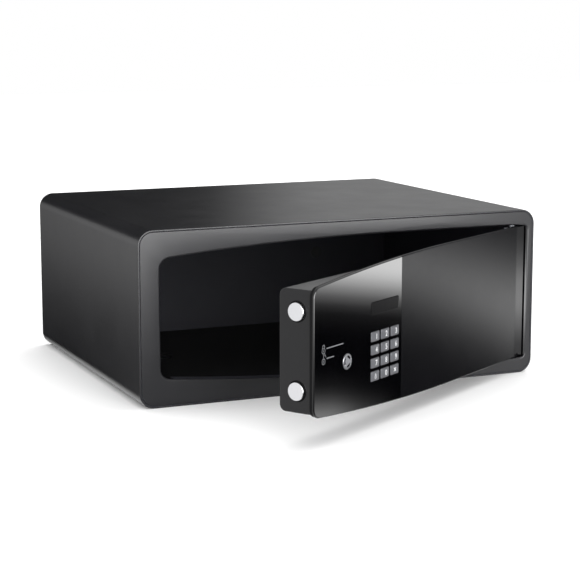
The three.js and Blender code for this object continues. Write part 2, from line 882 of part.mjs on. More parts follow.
// Lock chassis: a plate on four feet, with the second guide of the bolts and the posts of the motor
const chassisY = front + chassisDepth;
const chassisHalfHeight = housingInner - chassisEdge;
const footXs = [chassisFree + 2 * footRadius, keypadX - matHalfX - boardMargin - 2 * footRadius];
place(
  door,
  "lock_chassis",
  cut(
    join(
      block([chassisFree, chassisFree + chassisWidth], [chassisY, chassisY + chassisThickness], [
        mid - chassisHalfHeight,
        mid + chassisHalfHeight,
      ]),
      block([chassisFree, chassisFree + guideThickness], [chassisY, chassisY + guideReach], [
        mid - chassisHalfHeight,
        mid + chassisHalfHeight,
      ]),
      ...footXs.flatMap((x) =>
        [-1, 1].map((side) =>
          rodY(
            x,
            [plateRear + fit, chassisY + chassisThickness / 2],
            mid + side * (chassisHalfHeight - 2 * footRadius),
            footRadius,
            16,
          ),
        ),
      ),
      ...[-1, 1].map((side) =>
        rodY(
          pinionX + (side * motorPostSpacing) / 2,
          [chassisY + chassisThickness / 2, camFront - fit],
          pinionZ - motorPostDrop,
          postRadius,
          12,
        ),
      ),
    ),
    ...Object.values(boltZs).map((z) =>
      rodX([chassisFree - guideThickness, chassisFree + 2 * guideThickness], boltY, z, boltRadius + fit, 24),
    ),
    rodY(overrideX, throughY, overrideZ, barrelRadius + fit, 24),
    ...studs.map(({ x, z }) => rodY(x, throughY, z, studRadius + fit, 24)),
  ),
  zincSteel,
);

// Emergency override: a barrel fixed in the door plate, a slotted disc on a shaft, and the cam at its rear end
const discFront = front - discProud;
const discRear = discFront + discThickness;
function kidney(angle) {
  const start = angle - slotSpan / 2;
  const end = angle + slotSpan / 2;
  const at = (turn) => [overrideX + slotRadius * Math.cos(turn), overrideZ + slotRadius * Math.sin(turn)];
  const path = new THREE.Shape();
  path.absarc(overrideX, overrideZ, slotRadius + slotWidth / 2, start, end);
  path.absarc(...at(end), slotWidth / 2, end, end + Math.PI);
  path.absarc(overrideX, overrideZ, slotRadius - slotWidth / 2, end, start, true);
  path.absarc(...at(start), slotWidth / 2, start + Math.PI, start + 2 * Math.PI);
  path.closePath();
  return path;
}
place(
  door,
  "override_barrel",
  cut(
    join(
      rodY(overrideX, [discRear + fit, discRear + fit + barrelLength], overrideZ, barrelRadius, 24),
      rodY(overrideX, [plateRear + fit, chassisY - fit], overrideZ, barrelFlangeRadius, 24),
    ),
    rodY(overrideX, throughY, overrideZ, overrideShaftRadius + fit, 24),
  ),
  brass,
);
place(
  door,
  "override_rotor",
  cut(
    join(
      rodY(overrideX, [discFront, discRear], overrideZ, discRadius, 24),
      rodY(overrideX, [discRear - fit, camY[1] + fit], overrideZ, overrideShaftRadius, 24),
    ),
    ...Array.from({ length: slotCount }, (_, i) =>
      plate(kidney(slotStart + (2 * Math.PI * i) / slotCount), [front - far, discFront + slotDepth], [], 3),
    ),
  ),
  polishedSteel,
);
place(
  door,
  "override_cam",
  cut(
    join(
      rodY(0, camY, 0, camHubRadius),
      block([0, camReach - camFingerWidth / 2], camY, about(0, camFingerWidth)),
      rodY(camReach - camFingerWidth / 2, camY, 0, camFingerWidth / 2, 16),
    ),
    rodY(0, throughY, 0, overrideShaftRadius + fit, 24),
  )
    .rotateY(-camStart)
    .translate(overrideX, 0, overrideZ),
  zincSteel,
);

// Control board, on posts of the door plate, with its processor, driver, buzzer and two connectors
const chipY = [boardRear - fit, boardRear + chipHeight];
const leadPlugs = {
  motor: { x: controlX - controlWidth / 3, z: controlZ - controlHeight / 3 },
  battery: { x: controlX + controlWidth / 3, z: controlZ + controlHeight / 6 },
};
place(
  door,
  "control_board",
  join(
    block(about(controlX, controlWidth), [boardFront, boardRear], about(controlZ, controlHeight)),
    block(about(controlX, 14), chipY, about(controlZ - 4, 14)),
    block(about(controlX + 6, 10), chipY, about(controlZ + 22, 8)),
    rodY(controlX - 4, [boardRear - fit, boardRear + 2 * chipHeight], controlZ - 25, 6),
    ...Object.values(leadPlugs).map(({ x, z }) => block(about(x, 8), chipY, about(z, 6))),
  ),
  circuitBoard,
);

// Cables: a flat ribbon that arches between the boards, and the leads of the motor and the batteries
const keypadBoardEdge = keypadX + matHalfX + boardMargin;
const ribbonX = (keypadBoardEdge + controlX - controlWidth / 2) / 2;
const ribbonReach = (controlX - controlWidth / 2 - keypadBoardEdge) / 2 + ribbonLap;
const ribbonFoot = Math.max(keypadBoardFront + boardThickness, boardRear) + fit;
const ribbon = new THREE.Shape();
ribbon.absellipse(ribbonX, ribbonFoot, ribbonReach, ribbonRise, 0, Math.PI, false, 0);
ribbon.absellipse(
  ribbonX,
  ribbonFoot,
  ribbonReach - ribbonThickness,
  ribbonRise - ribbonThickness,
  Math.PI,
  0,
  true,
  0,
);
place(door, "ribbon_cable", sheet(ribbon, about(mid, ribbonWidth)), cableSleeve);

function lead(points) {
  const curve = new THREE.CatmullRomCurve3(points.map((point) => new THREE.Vector3(...point)));
  const section = new THREE.Shape();
  section.absarc(0, 0, leadRadius, 0, 2 * Math.PI);
  return new THREE.ExtrudeGeometry(new THREE.Shape(pointsOf(section, 4)), { steps: 14, extrudePath: curve });
}
const plugTop = chipY[1] + fit;
const motorEnd = pinionX + gearboxWidth / 2 + motorLength + fit;
const motorY = camFront + gearboxDepth / 2;
const bayEdge = bayX - pocketWidth / 2 - holderWall - fit;
const bayY = (pocketFloor + studEnd) / 2;
place(
  door,
  "motor_lead",
  lead([
    [motorEnd, motorY, pinionZ],
    [motorEnd + leadStraight, motorY, pinionZ],
    [(motorEnd + leadPlugs.motor.x) / 2, motorY, (pinionZ + leadPlugs.motor.z) / 2],
    [leadPlugs.motor.x, plugTop + 2 * leadStraight, leadPlugs.motor.z],
    [leadPlugs.motor.x, plugTop, leadPlugs.motor.z],
  ]),
  cableSleeve,
);
place(
  door,
  "battery_lead",
  lead([
    [bayEdge, bayY, mid],
    [bayEdge - leadStraight, bayY, mid],
    [(bayEdge + leadPlugs.battery.x) / 2, bayY, (mid + leadPlugs.battery.z) / 2],
    [leadPlugs.battery.x, plugTop + 2 * leadStraight, leadPlugs.battery.z],
    [leadPlugs.battery.x, plugTop, leadPlugs.battery.z],
  ]),
  cableSleeve,
);

// Battery bay: a holder flanged against the housing's rear wall, four cells and a hinged lid
place(
  door,
  "battery_holder",
  cut(
    join(
      block(
        about(bayX, pocketWidth + 2 * holderWall),
        [pocketFloor - holderWall, studEnd],
        about(mid, pocketHeight + 2 * holderWall),
      ),
      block(
        about(bayX, pocketWidth + 2 * (holderWall + holderFlange)),
        [studEnd - holderWall, studEnd],
        about(mid, pocketHeight + 2 * (holderWall + holderFlange)),
      ),
    ),
    block(about(bayX, pocketWidth), [pocketFloor, far], about(mid, pocketHeight)),
  ),
  blackPlastic,
);
for (let i = 0; i < cellCount; i++) {
  const z = mid + (i - (cellCount - 1) / 2) * cellPitch;
  const facing = i % 2 ? 1 : -1;
  const end = bayX + (facing * cellLength) / 2;
  place(
    door,
    `battery_cell_${i + 1}`,
    join(
      rodX(about(bayX, cellLength), pocketFloor + fit + cellRadius, z, cellRadius),
      rodX([end - contactRoom / 2, end + contactRoom / 2], pocketFloor + fit + cellRadius, z, cellNub, 16),
    ),
    cellSleeve,
  );
}
const lidY = [housingBack + fit, housingBack + fit + lidThickness];
place(
  door,
  "battery_lid",
  cut(
    join(
      block(about(bayX, 2 * lidHalfWidth), lidY, about(mid, 2 * lidHalfHeight)),
      rodX(about(bayX, lidKnuckleLength), lidAxisY, lidAxisZ, lidKnuckleRadius, 16),
      block(about(bayX, lidKnuckleLength), lidY, [lidAxisZ, mid - lidHalfHeight + lidThickness]),
    ),
    rodX([-far, far], lidAxisY, lidAxisZ, lidPinRadius + fit, 12),
  ),
  blackPlastic,
);
place(
  door,
  "battery_lid_pin",
  rodX(about(bayX, lidKnuckleLength + 2 * (fit + lugLength)), lidAxisY, lidAxisZ, lidPinRadius, 12),
  zincSteel,
);

export default safe;
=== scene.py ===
"""A laptop-size electronic hotel safe with its door ajar.

The case and the door are modelled in their own axes, the door's as it hangs when shut. X runs along the
door's width, Y from front to rear and Z up. Each finished piece is then placed in its mesh. Lengths are in
metres.
"""

import json
import logging
import math
from collections.abc import Callable, Iterable, Sequence
from dataclasses import dataclass, replace
from enum import Enum

import bmesh
import bpy
from bmesh.types import BMEdge, BMesh, BMFace, BMVert
from mathutils import Matrix, Vector

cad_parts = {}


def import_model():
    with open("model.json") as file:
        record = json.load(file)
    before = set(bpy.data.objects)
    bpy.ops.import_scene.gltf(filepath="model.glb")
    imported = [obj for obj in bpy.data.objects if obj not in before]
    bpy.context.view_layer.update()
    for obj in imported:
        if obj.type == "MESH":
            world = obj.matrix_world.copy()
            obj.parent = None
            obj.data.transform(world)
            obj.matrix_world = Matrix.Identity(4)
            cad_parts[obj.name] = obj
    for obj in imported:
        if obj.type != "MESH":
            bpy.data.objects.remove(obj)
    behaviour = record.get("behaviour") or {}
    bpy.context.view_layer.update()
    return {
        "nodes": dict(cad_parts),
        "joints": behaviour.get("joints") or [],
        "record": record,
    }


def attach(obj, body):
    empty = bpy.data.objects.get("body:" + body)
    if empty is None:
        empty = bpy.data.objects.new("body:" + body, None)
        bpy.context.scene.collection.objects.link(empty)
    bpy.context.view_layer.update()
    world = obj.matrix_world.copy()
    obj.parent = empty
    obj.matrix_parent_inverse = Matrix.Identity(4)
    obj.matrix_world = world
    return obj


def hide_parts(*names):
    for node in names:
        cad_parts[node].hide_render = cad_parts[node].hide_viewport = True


LOG = logging.getLogger("hotel_safe")
MM = 0.001
# The clearance between pieces that fit into each other
FIT = 0.3 * MM
# Points closer than this are one
WELD = 0.004 * MM
# Edges that bend by more than this stay sharp
SHARP = math.radians(34)
# The cosine above which two directions are the same
ALIGNED = 0.999
FRONT = Vector((0, -1, 0))
REAR = Vector((0, 1, 0))
UP = Vector((0, 0, 1))
ACROSS = Vector((1, 0, 0))
# These stand up what lies in the plane of X and Y, with its top to the front, and lay it down again
STAND_UP = Matrix.Rotation(math.pi / 2, 4, "X")
LAY_DOWN = Matrix.Rotation(-math.pi / 2, 4, "X")
Pair = tuple[float, float]


# Colours and nodes


def linear(code: str) -> tuple[float, float, float, float]:
    """Turn an sRGB hex colour into linear RGBA.

    Args:
        code: Six hex digits, such as "2b2c30".

    Returns:
        The red, green, blue and alpha that Blender's sockets hold.
    """
    channels = [int(code[i : i + 2], 16) / 255 for i in (0, 2, 4)]
    return (*[c / 12.92 if c <= 0.04045 else ((c + 0.055) / 1.055) ** 2.4 for c in channels], 1.0)


def add_node(tree: bpy.types.NodeTree, kind: str, sockets: dict | None = None, **settings) -> bpy.types.Node:
    """Add a node with its settings, and set or link its inputs.

    Args:
        tree: The node tree that gets the node.
        kind: The node's type, such as "ShaderNodeBump".
        sockets: Input names or places, each with a value or with the output that feeds it.
        **settings: The node's own properties.

    Returns:
        The new node.
    """
    node = tree.nodes.new(kind)
    for name, value in settings.items():
        setattr(node, name, value)
    for key, value in (sockets or {}).items():
        if isinstance(value, bpy.types.NodeSocket):
            tree.links.new(value, node.inputs[key])
        else:
            node.inputs[key].default_value = value
    return node


def add_ramp(
    tree: bpy.types.NodeTree, value: bpy.types.NodeSocket, stops: Sequence[Pair]
) -> bpy.types.NodeSocket:
    """Add a smooth ramp of grey levels.

    Args:
        tree: The node tree that gets the ramp.
        value: What the ramp reads, from 0 to 1.
        stops: Pairs of place and level, both from 0 to 1.

    Returns:
        The ramp's output.
    """
    node = add_node(tree, "ShaderNodeValToRGB", {"Fac": value})
    ramp = node.color_ramp
    ramp.interpolation = "CARDINAL"
    while len(ramp.elements) < len(stops):
        ramp.elements.new(1.0)
    for element, (place, level) in zip(ramp.elements, stops):
        element.position = place
        element.color = (level, level, level, 1.0)
    return node.outputs["Color"]


def new_material(name: str) -> bpy.types.Material:
    """Return a new material with an empty node tree."""
    material = bpy.data.materials.new(name)
    material.use_nodes = True
    material.node_tree.nodes.clear()
    return material


# Finishes


class Texture(Enum):
    """How a surface was made, which sets its fine relief."""

    POWDER = "powder coat: a fine, even orange peel"
    SATIN = "sprayed lacquer: a faint, wide ripple"
    MOULDED = "moulded plastic: spark-eroded pits"
    BRUSHED = "drawn metal: long parallel scratches"
    TURNED = "machined metal: short crossed tool marks"
    POLISHED = "polished: only a faint uneven gloss"
    FELTED = "needle felt: short fibres"


# The size of the patches in which colour and gloss drift
PATCH = 45 * MM
# How many times longer than wide the marks on worked metal are
STRETCH = {Texture.BRUSHED: 40, Texture.TURNED: 6}
# The octaves of the relief's noise, where they aren't the usual 4
OCTAVES = {Texture.POWDER: 2.0, Texture.SATIN: 0.0, Texture.POLISHED: 0.0}


@dataclass(frozen=True)
class Finish:
    """A surface finish, named for the real material, or for the painted light or shade it stands for.

    Attributes:
        name: The material's name.
        slot: The record's material slot.
        colour: The body colour as sRGB hex.
        tint: A second colour, which the first drifts towards in patches.
        roughness: The mean roughness.
        texture: How the surface was made.
        grain: The spacing of the relief.
        relief: The height of the relief.
        metallic: 1 for bare metal.
        specular: The specular level of a dielectric.
        unevenness: How far the roughness drifts either way.
    """

    name: str
    slot: str
    colour: str
    tint: str
    roughness: float
    texture: Texture
    grain: float = 0.9 * MM
    relief: float = 0.004 * MM
    metallic: float = 0.0
    specular: float = 0.5
    unevenness: float = 0.03

    def material(self) -> bpy.types.Material:
        """Return this finish as a material, made on first use."""
        if self.name in bpy.data.materials:
            return bpy.data.materials[self.name]
        material = new_material(self.name)
        tree = material.node_tree
        place = add_node(tree, "ShaderNodeTexCoord").outputs["Object"]
        patches = {"Vector": place, "Scale": 1 / PATCH, "Detail": 3.0, "Roughness": 0.55}
        drift = add_node(tree, "ShaderNodeTexNoise", patches).outputs["Fac"]
        colours = {0: drift, 6: linear(self.colour), 7: linear(self.tint)}
        colour = add_node(tree, "ShaderNodeMix", colours, data_type="RGBA").outputs[2]
        height = self.height(tree, place)
        # Patches and relief both stay near 0.5, so their sum uses the middle of its range
        mottle = add_node(tree, "ShaderNodeMath", {0: drift, 1: height}, operation="ADD").outputs[0]
        spread = {
            "Value": mottle,
            "From Min": 0.6,
            "From Max": 1.4,
            "To Min": max(self.roughness - self.unevenness, 0.01),
            "To Max": self.roughness + self.unevenness,
        }
        rough = add_node(tree, "ShaderNodeMapRange", spread).outputs[0]
        relief = {"Height": height, "Distance": self.relief}
        shading = {
            "Base Color": colour,
            "Roughness": rough,
            "Normal": add_node(tree, "ShaderNodeBump", relief).outputs["Normal"],
            "Metallic": self.metallic,
            "Specular IOR Level": self.specular,
        }
        shader = add_node(tree, "ShaderNodeBsdfPrincipled", shading)
        add_node(tree, "ShaderNodeOutputMaterial", {"Surface": shader.outputs[0]})
        return material

    def height(self, tree: bpy.types.NodeTree, place: bpy.types.NodeSocket) -> bpy.types.NodeSocket:
        """Add the nodes of the fine relief.

        Args:
            tree: The material's node tree.
            place: The Object coordinates.

        Returns:
            The relief's height, from 0 to 1.
        """
        scale = 1 / self.grain
        if self.texture is Texture.MOULDED:
            pits = {"Vector": place, "Scale": scale}
            return add_node(tree, "ShaderNodeTexVoronoi", pits, feature="SMOOTH_F1").outputs["Distance"]
        if self.texture in STRETCH:
            drawn = {"Vector": place, "Scale": (1, 1, 1 / STRETCH[self.texture])}
            place = add_node(tree, "ShaderNodeMapping", drawn).outputs[0]
        grains = {"Vector": place, "Scale": scale, "Detail": OCTAVES.get(self.texture, 4.0)}
        return add_node(tree, "ShaderNodeTexNoise", grains).outputs["Fac"]


# Polyester powder coat on steel: a black satin whose fine peel softens every highlight
POWDER_COAT = Finish(
    "powder_coated_steel", "powder_coat", "131316", "17171a", 0.32, Texture.POWDER, relief=0.006 * MM
)
# A duller copy of the case's powder coat, a shade paler, on the inside faces, the back's front and the return
# flanges: painted light, which brightens the dim inside and paints the flanges' light line
INNER_COAT_PAINTED_LIGHT = Finish(
    "inner_coat_painted_light", "powder_coat", "2b2b31", "313137", 0.5, Texture.POWDER,
    relief=0.008 * MM, specular=0.3,
)  # fmt: skip
# Satin lacquer on the door's steel skin: smoother than the case, so it holds a soft band of light
SKIN_LACQUER = Finish(
    "satin_lacquered_skin", "door_paint", "09090b", "0c0c0e", 0.11, Texture.SATIN,
    grain=4 * MM, relief=0.002 * MM, specular=0.05, unevenness=0.01,
)  # fmt: skip
# The same lacquer over folded sheet, a little coarser
HOUSING_LACQUER = Finish(
    "satin_lacquered_housing", "door_paint", "0c0c0e", "101012", 0.22, Texture.POWDER, specular=0.4
)
# Cast acrylic, painted black behind: the face is nearly a mirror
GLOSS_ACRYLIC = Finish(
    "back_painted_acrylic", "gloss_panel", "030304", "040405", 0.03, Texture.POLISHED,
    grain=60 * MM, relief=0.0002 * MM, unevenness=0.01,
)  # fmt: skip
# Smoked window with an etched face, which mirrors less than the acrylic round it
SMOKED_WINDOW = Finish(
    "smoked_window", "gloss_panel", "040405", "050506", 0.14, Texture.POLISHED,
    grain=60 * MM, relief=0.0002 * MM, specular=0.03, unevenness=0.01,
)  # fmt: skip
# Spark-eroded ABS: matt black with fine pits
BLACK_ABS = Finish(
    "moulded_black_abs", "black_plastic", "131314", "181819", 0.5, Texture.MOULDED, grain=0.5 * MM
)
# Glass-filled nylon of the bolts' bushes: duller and blacker than the lacquer round it. The same black lines
# the override disc's slots as painted shade, for the dark of slots cut right through
NYLON_AND_SLOT_SHADE = Finish(
    "glass_filled_nylon_and_slot_shade", "black_plastic", "080809", "0a0a0b", 0.6, Texture.MOULDED,
    grain=0.5 * MM, specular=0.1,
)  # fmt: skip
# Matt black on the door plate, whose edge shows as a dull black line behind the covers: painted shade for the
# shadowed gap between the covers and the housing
PLATE_EDGE_SHADE = Finish(
    "plate_edge_painted_shade", "door_paint", "0a0a0b", "0d0d0e", 0.6, Texture.POWDER, specular=0.1
)
# Bright zinc plate: pale grey with drawing lines
ZINC_PLATE = Finish(
    "zinc_plated_steel", "zinc_steel", "9b9da1", "8b8e94", 0.34, Texture.BRUSHED,
    grain=0.3 * MM, relief=0.003 * MM, metallic=1.0, unevenness=0.08,
)  # fmt: skip
# Ground and polished steel: nearly white, with the last tool marks left in it
POLISHED_STEEL = Finish(
    "polished_bolt_steel", "bolt_steel", "e6e6e8", "dcdde0", 0.24, Texture.TURNED,
    grain=0.25 * MM, relief=0.001 * MM, metallic=1.0, unevenness=0.05,
)  # fmt: skip
# ABS keycaps with a silver lacquer: flakes in the lacquer give it a metal's sheen without a mirror
SILVER_LACQUER = Finish(
    "silver_lacquered_abs", "key_silver", "56575b", "606165", 0.42, Texture.MOULDED,
    grain=0.25 * MM, relief=0.002 * MM, metallic=0.6,
)  # fmt: skip
# White screen ink: flat and opaque
WHITE_INK = Finish("white_screen_ink", "key_silver", "dadbdd", "e2e2e4", 0.55, Texture.SATIN, grain=0.4 * MM)
# Grey screen ink of the marks on the fascia
MARK_INK = Finish("grey_screen_ink", "key_silver", "5c5d60", "636467", 0.5, Texture.SATIN, grain=0.4 * MM)
# Satin chrome over die-cast zinc
SATIN_CHROME = Finish(
    "satin_chromed_zinc", "override_metal", "96979b", "8a8b8f", 0.3, Texture.TURNED,
    grain=0.3 * MM, relief=0.002 * MM, metallic=1.0, unevenness=0.06,
)  # fmt: skip
# Black needle felt: no gloss, fibres show as a coarse nap, drawn coarser than life so that it shows
FLOOR_FELT = Finish(
    "needle_felt_mat", "rubber", "141415", "1a1a1c", 0.95, Texture.FELTED, relief=0.2 * MM, specular=0.2
)
# Silicone of the plugs and of the key mat: dull, from a fine-blasted mould
SILICONE = Finish("moulded_silicone", "rubber", "18181a", "1e1e20", 0.7, Texture.SATIN)
# Green solder resist over glass-fibre board
SOLDER_RESIST = Finish("solder_resist", "circuit_board", "1c5636", "184a30", 0.4, Texture.SATIN)
# Free-cutting brass, left as it comes off the lathe
TURNED_BRASS = Finish(
    "turned_brass", "brass", "b8934c", "a98443", 0.3, Texture.TURNED, grain=0.3 * MM, metallic=1.0
)
# Printed shrink film round the cells
CELL_SLEEVE = Finish("printed_shrink_sleeve", "cell_sleeve", "44576a", "3b4c5c", 0.3, Texture.SATIN)
# PVC of the leads and of the ribbon
CABLE_SLEEVE = Finish("extruded_pvc", "cable_sleeve", "5c5f63", "525559", 0.5, Texture.SATIN)
# One finish for each slot, for the pieces whose shape comes from the solids
CARRIED = (
    POWDER_COAT, HOUSING_LACQUER, GLOSS_ACRYLIC, BLACK_ABS, ZINC_PLATE, POLISHED_STEEL, SILVER_LACQUER,
    SATIN_CHROME, SILICONE, SOLDER_RESIST, TURNED_BRASS, CELL_SLEEVE, CABLE_SLEEVE,
)  # fmt: skip


# Outlines, which lie in the plane of X and Z


def round_corners(bm: BMesh, corners: Sequence[BMVert], radii: Sequence[float], segments: int) -> None:
    """Round corners of a lone flat face.

    Args:
        bm: The bmesh that holds the face.
        corners: The corners to round.
        radii: A radius for each corner.
        segments: The steps of each arc.
    """
    for corner, radius in zip(corners, radii):
        if radius > 0:
            reach = radius / math.tan(corner.link_loops[0].calc_angle() / 2)
            bmesh.ops.bevel(
                bm,
                geom=[corner],
                offset=reach,
                offset_type="OFFSET",
                segments=segments,
                profile=0.5,
                affect="VERTICES",
                material=-1,
                clamp_overlap=False,
            )


@dataclass(frozen=True)
class Outline:
    """A closed outline in the plane of X and Z."""

    def sketch(self, grow: float) -> BMesh:
        """Draw the outline, moved outwards, as the one face of a new bmesh."""
        raise NotImplementedError

    def points(self, grow: float = 0.0) -> list[Vector]:
        """Return the outline's points in order.

        Args:
            grow: How far the outline is moved outwards.

        Returns:
            The points, at a depth of 0.
        """
        bm = self.sketch(grow)
        bmesh.ops.remove_doubles(bm, verts=bm.verts, dist=10 * WELD)
        face = max(bm.faces, key=lambda one: one.calc_area())
        spots = [vert.co.copy() for vert in face.verts]
        bm.free()
        return spots

    def face(self, bm: BMesh, y: float, grow: float = 0.0) -> BMFace:
        """Add the outline to a bmesh as a face at a depth."""
        return bm.faces.new([bm.verts.new((spot.x, y, spot.z)) for spot in self.points(grow)])

    def loop(self, bm: BMesh, y: float, grow: float = 0.0, turn: Matrix | None = None) -> list[BMEdge]:
        """Add the outline to a bmesh as bare edges.

        Args:
            bm: The bmesh that gets the edges.
            y: Their depth.
            grow: How far the outline is moved outwards.
            turn: A turn of the edges into another plane.

        Returns:
            The edges.
        """
        verts = [bm.verts.new((spot.x, y, spot.z)) for spot in self.points(grow)]
        if turn is not None:
            bmesh.ops.transform(bm, matrix=turn, verts=verts)
        return [bm.edges.new(pair) for pair in zip(verts, verts[1:] + verts[:1])]


@dataclass(frozen=True)
class Rounded(Outline):
    """A rectangle with round corners, by its centre, width and height."""

    x: float
    z: float
    width: float
    height: float
    corner: float
    steps: int = 8

    def sketch(self, grow: float) -> BMesh:
        """Draw the outline, moved outwards, as the one face of a new bmesh."""
        bm = bmesh.new()
        half_x, half_z = self.width / 2 + grow, self.height / 2 + grow
        sides = ((-1, -1), (1, -1), (1, 1), (-1, 1))
        verts = [bm.verts.new((self.x + i * half_x, 0, self.z + j * half_z)) for i, j in sides]
        bm.faces.new(verts)
        radius = min(self.corner + grow, 0.999 * half_x, 0.999 * half_z) if self.corner else 0.0
        round_corners(bm, verts, [radius] * 4, self.steps)
        return bm


@dataclass(frozen=True)
class Disc(Outline):
    """A circle, or with few sides a polygon."""

    x: float
    z: float
    radius: float
    sides: int = 48

    def sketch(self, grow: float) -> BMesh:
        """Draw the outline, moved outwards, as the one face of a new bmesh."""
        bm = bmesh.new()
        place = Matrix.Translation((self.x, 0, self.z)) @ STAND_UP
        bmesh.ops.create_circle(
            bm, cap_ends=True, radius=self.radius + grow, segments=self.sides, matrix=place
        )
        return bm


@dataclass(frozen=True)
class Bent(Outline):
    """A slot with round ends, bent round a centre."""

    x: float
    z: float
    radius: float
    width: float
    start: float
    span: float
    cuts: int = 9

    def sketch(self, grow: float) -> BMesh:
        """Draw the outline, moved outwards, as the one face of a new bmesh."""
        length = self.span * self.radius + self.width
        bm = Rounded(0, 0, length, self.width, self.width / 2).sketch(grow)
        long_edges = [edge for edge in bm.edges if edge.calc_length() > self.width]
        for edge in long_edges:
            bmesh.ops.subdivide_edges(bm, edges=[edge], cuts=self.cuts)
        for vert in bm.verts:
            turn = self.start + self.span / 2 + vert.co.x / self.radius
            reach = self.radius + vert.co.z
            vert.co = (self.x + reach * math.cos(turn), 0, self.z + reach * math.sin(turn))
        return bm


@dataclass(frozen=True)
class Taper(Outline):
    """The door's outline: level on its hinge side, then narrowing in an arc to its free side.

    Attributes:
        free: The free side's place along X.
        hinge: The hinge side's place along X.
        middle: The middle height.
        half: Half the height where it is level.
        start: Where the arcs begin.
        radius: The arcs' radius.
        free_corner: The corner radius on the free side.
        hinge_corner: The corner radius on the hinge side.
        steps: The cuts of each long arc.
    """

    free: float
    hinge: float
    middle: float
    half: float
    start: float
    radius: float
    free_corner: float
    hinge_corner: float
    steps: int = 14

    def inset(self, by: float) -> "Taper":
        """Return the outline moved inwards."""
        return replace(
            self,
            free=self.free + by,
            hinge=self.hinge - by,
            half=self.half - by,
            radius=self.radius - by,
            free_corner=max(self.free_corner - by, 0.0),
            hinge_corner=max(self.hinge_corner - by, 0.0),
        )

    def half_at(self, x: float) -> float:
        """Return half the height at a place along X."""
        return self.half - self.radius + math.sqrt(self.radius**2 - max(self.start - x, 0.0) ** 2)

    def sketch(self, grow: float) -> BMesh:
        """Draw the outline, moved outwards, as the one face of a new bmesh."""
        if grow:
            return self.inset(-grow).sketch(0.0)
        bm = bmesh.new()
        low, high = self.middle - self.half, self.middle + self.half
        along = (self.free, self.start, self.hinge)
        verts = [bm.verts.new((x, 0, low)) for x in along]
        verts += [bm.verts.new((x, 0, high)) for x in reversed(along)]
        bm.faces.new(verts)
        arcs = [bm.edges.get((verts[0], verts[1])), bm.edges.get((verts[4], verts[5]))]
        for arc in arcs:
            bmesh.ops.subdivide_edges(bm, edges=[arc], cuts=self.steps)
        for vert in bm.verts:
            side = 1 if vert.co.z > self.middle else -1
            vert.co.z = self.middle + side * self.half_at(vert.co.x)
        for end, radius in ((self.free, self.free_corner), (self.hinge, self.hinge_corner)):
            corners = [vert for vert in bm.verts if abs(vert.co.x - end) < WELD]
            round_corners(bm, corners, [radius] * 2, 8)
        return bm


# Operations on shapes


def bisect(bm: BMesh, spot: Vector, beyond: Vector) -> list[BMEdge]:
    """Cut a shape at a plane, clear what lies beyond it, and return the cut's edges."""
    everything = [*bm.verts, *bm.edges, *bm.faces]
    cut = bmesh.ops.bisect_plane(bm, geom=everything, plane_co=spot, plane_no=beyond, clear_outer=True)
    return [item for item in cut["geom_cut"] if isinstance(item, BMEdge)]


def cap_of(bm: BMesh, direction: Vector, level: float | None = None) -> BMFace:
    """Return the largest face that looks in a direction.

    Args:
        bm: The bmesh that holds the face.
        direction: The direction, of length 1.
        level: How far along the direction the face lies, where several faces look that way.

    Returns:
        The face.
    """
    bm.normal_update()
    facing = [face for face in bm.faces if face.normal.dot(direction) > ALIGNED]
    if level is not None:
        facing = [face for face in facing if abs(face.verts[0].co.dot(direction) - level) < WELD]
    return max(facing, key=lambda face: face.calc_area())


def round_edges(bm: BMesh, edges: Iterable[BMEdge], radius: float, segments: int = 3) -> None:
    """Round edges of a shape."""
    bmesh.ops.bevel(
        bm,
        geom=list(edges),
        offset=radius,
        offset_type="OFFSET",
        segments=segments,
        profile=0.5,
        affect="EDGES",
        material=-1,
        clamp_overlap=True,
    )


def punch(bm: BMesh, cap: BMFace, loops: Sequence[Sequence[BMEdge]]) -> None:
    """Open holes in a flat face.

    Args:
        bm: The bmesh that holds the face.
        cap: The face.
        loops: The edges of each hole, which lie in the face.
    """
    edges = list(cap.edges)
    normal = cap.normal.copy()
    bmesh.ops.delete(bm, geom=[cap], context="FACES_ONLY")
    for loop in loops:
        edges.extend(loop)
    bmesh.ops.triangle_fill(bm, use_beauty=True, use_dissolve=False, edges=edges, normal=normal)


def extrude(bm: BMesh, face: BMFace, move: Vector) -> None:
    """Pull a lone face out into a closed solid."""
    made = bmesh.ops.extrude_face_region(bm, geom=[face], use_keep_orig=True)["geom"]
    bmesh.ops.translate(bm, verts=[item for item in made if isinstance(item, BMVert)], vec=move)
    bmesh.ops.recalc_face_normals(bm, faces=bm.faces)


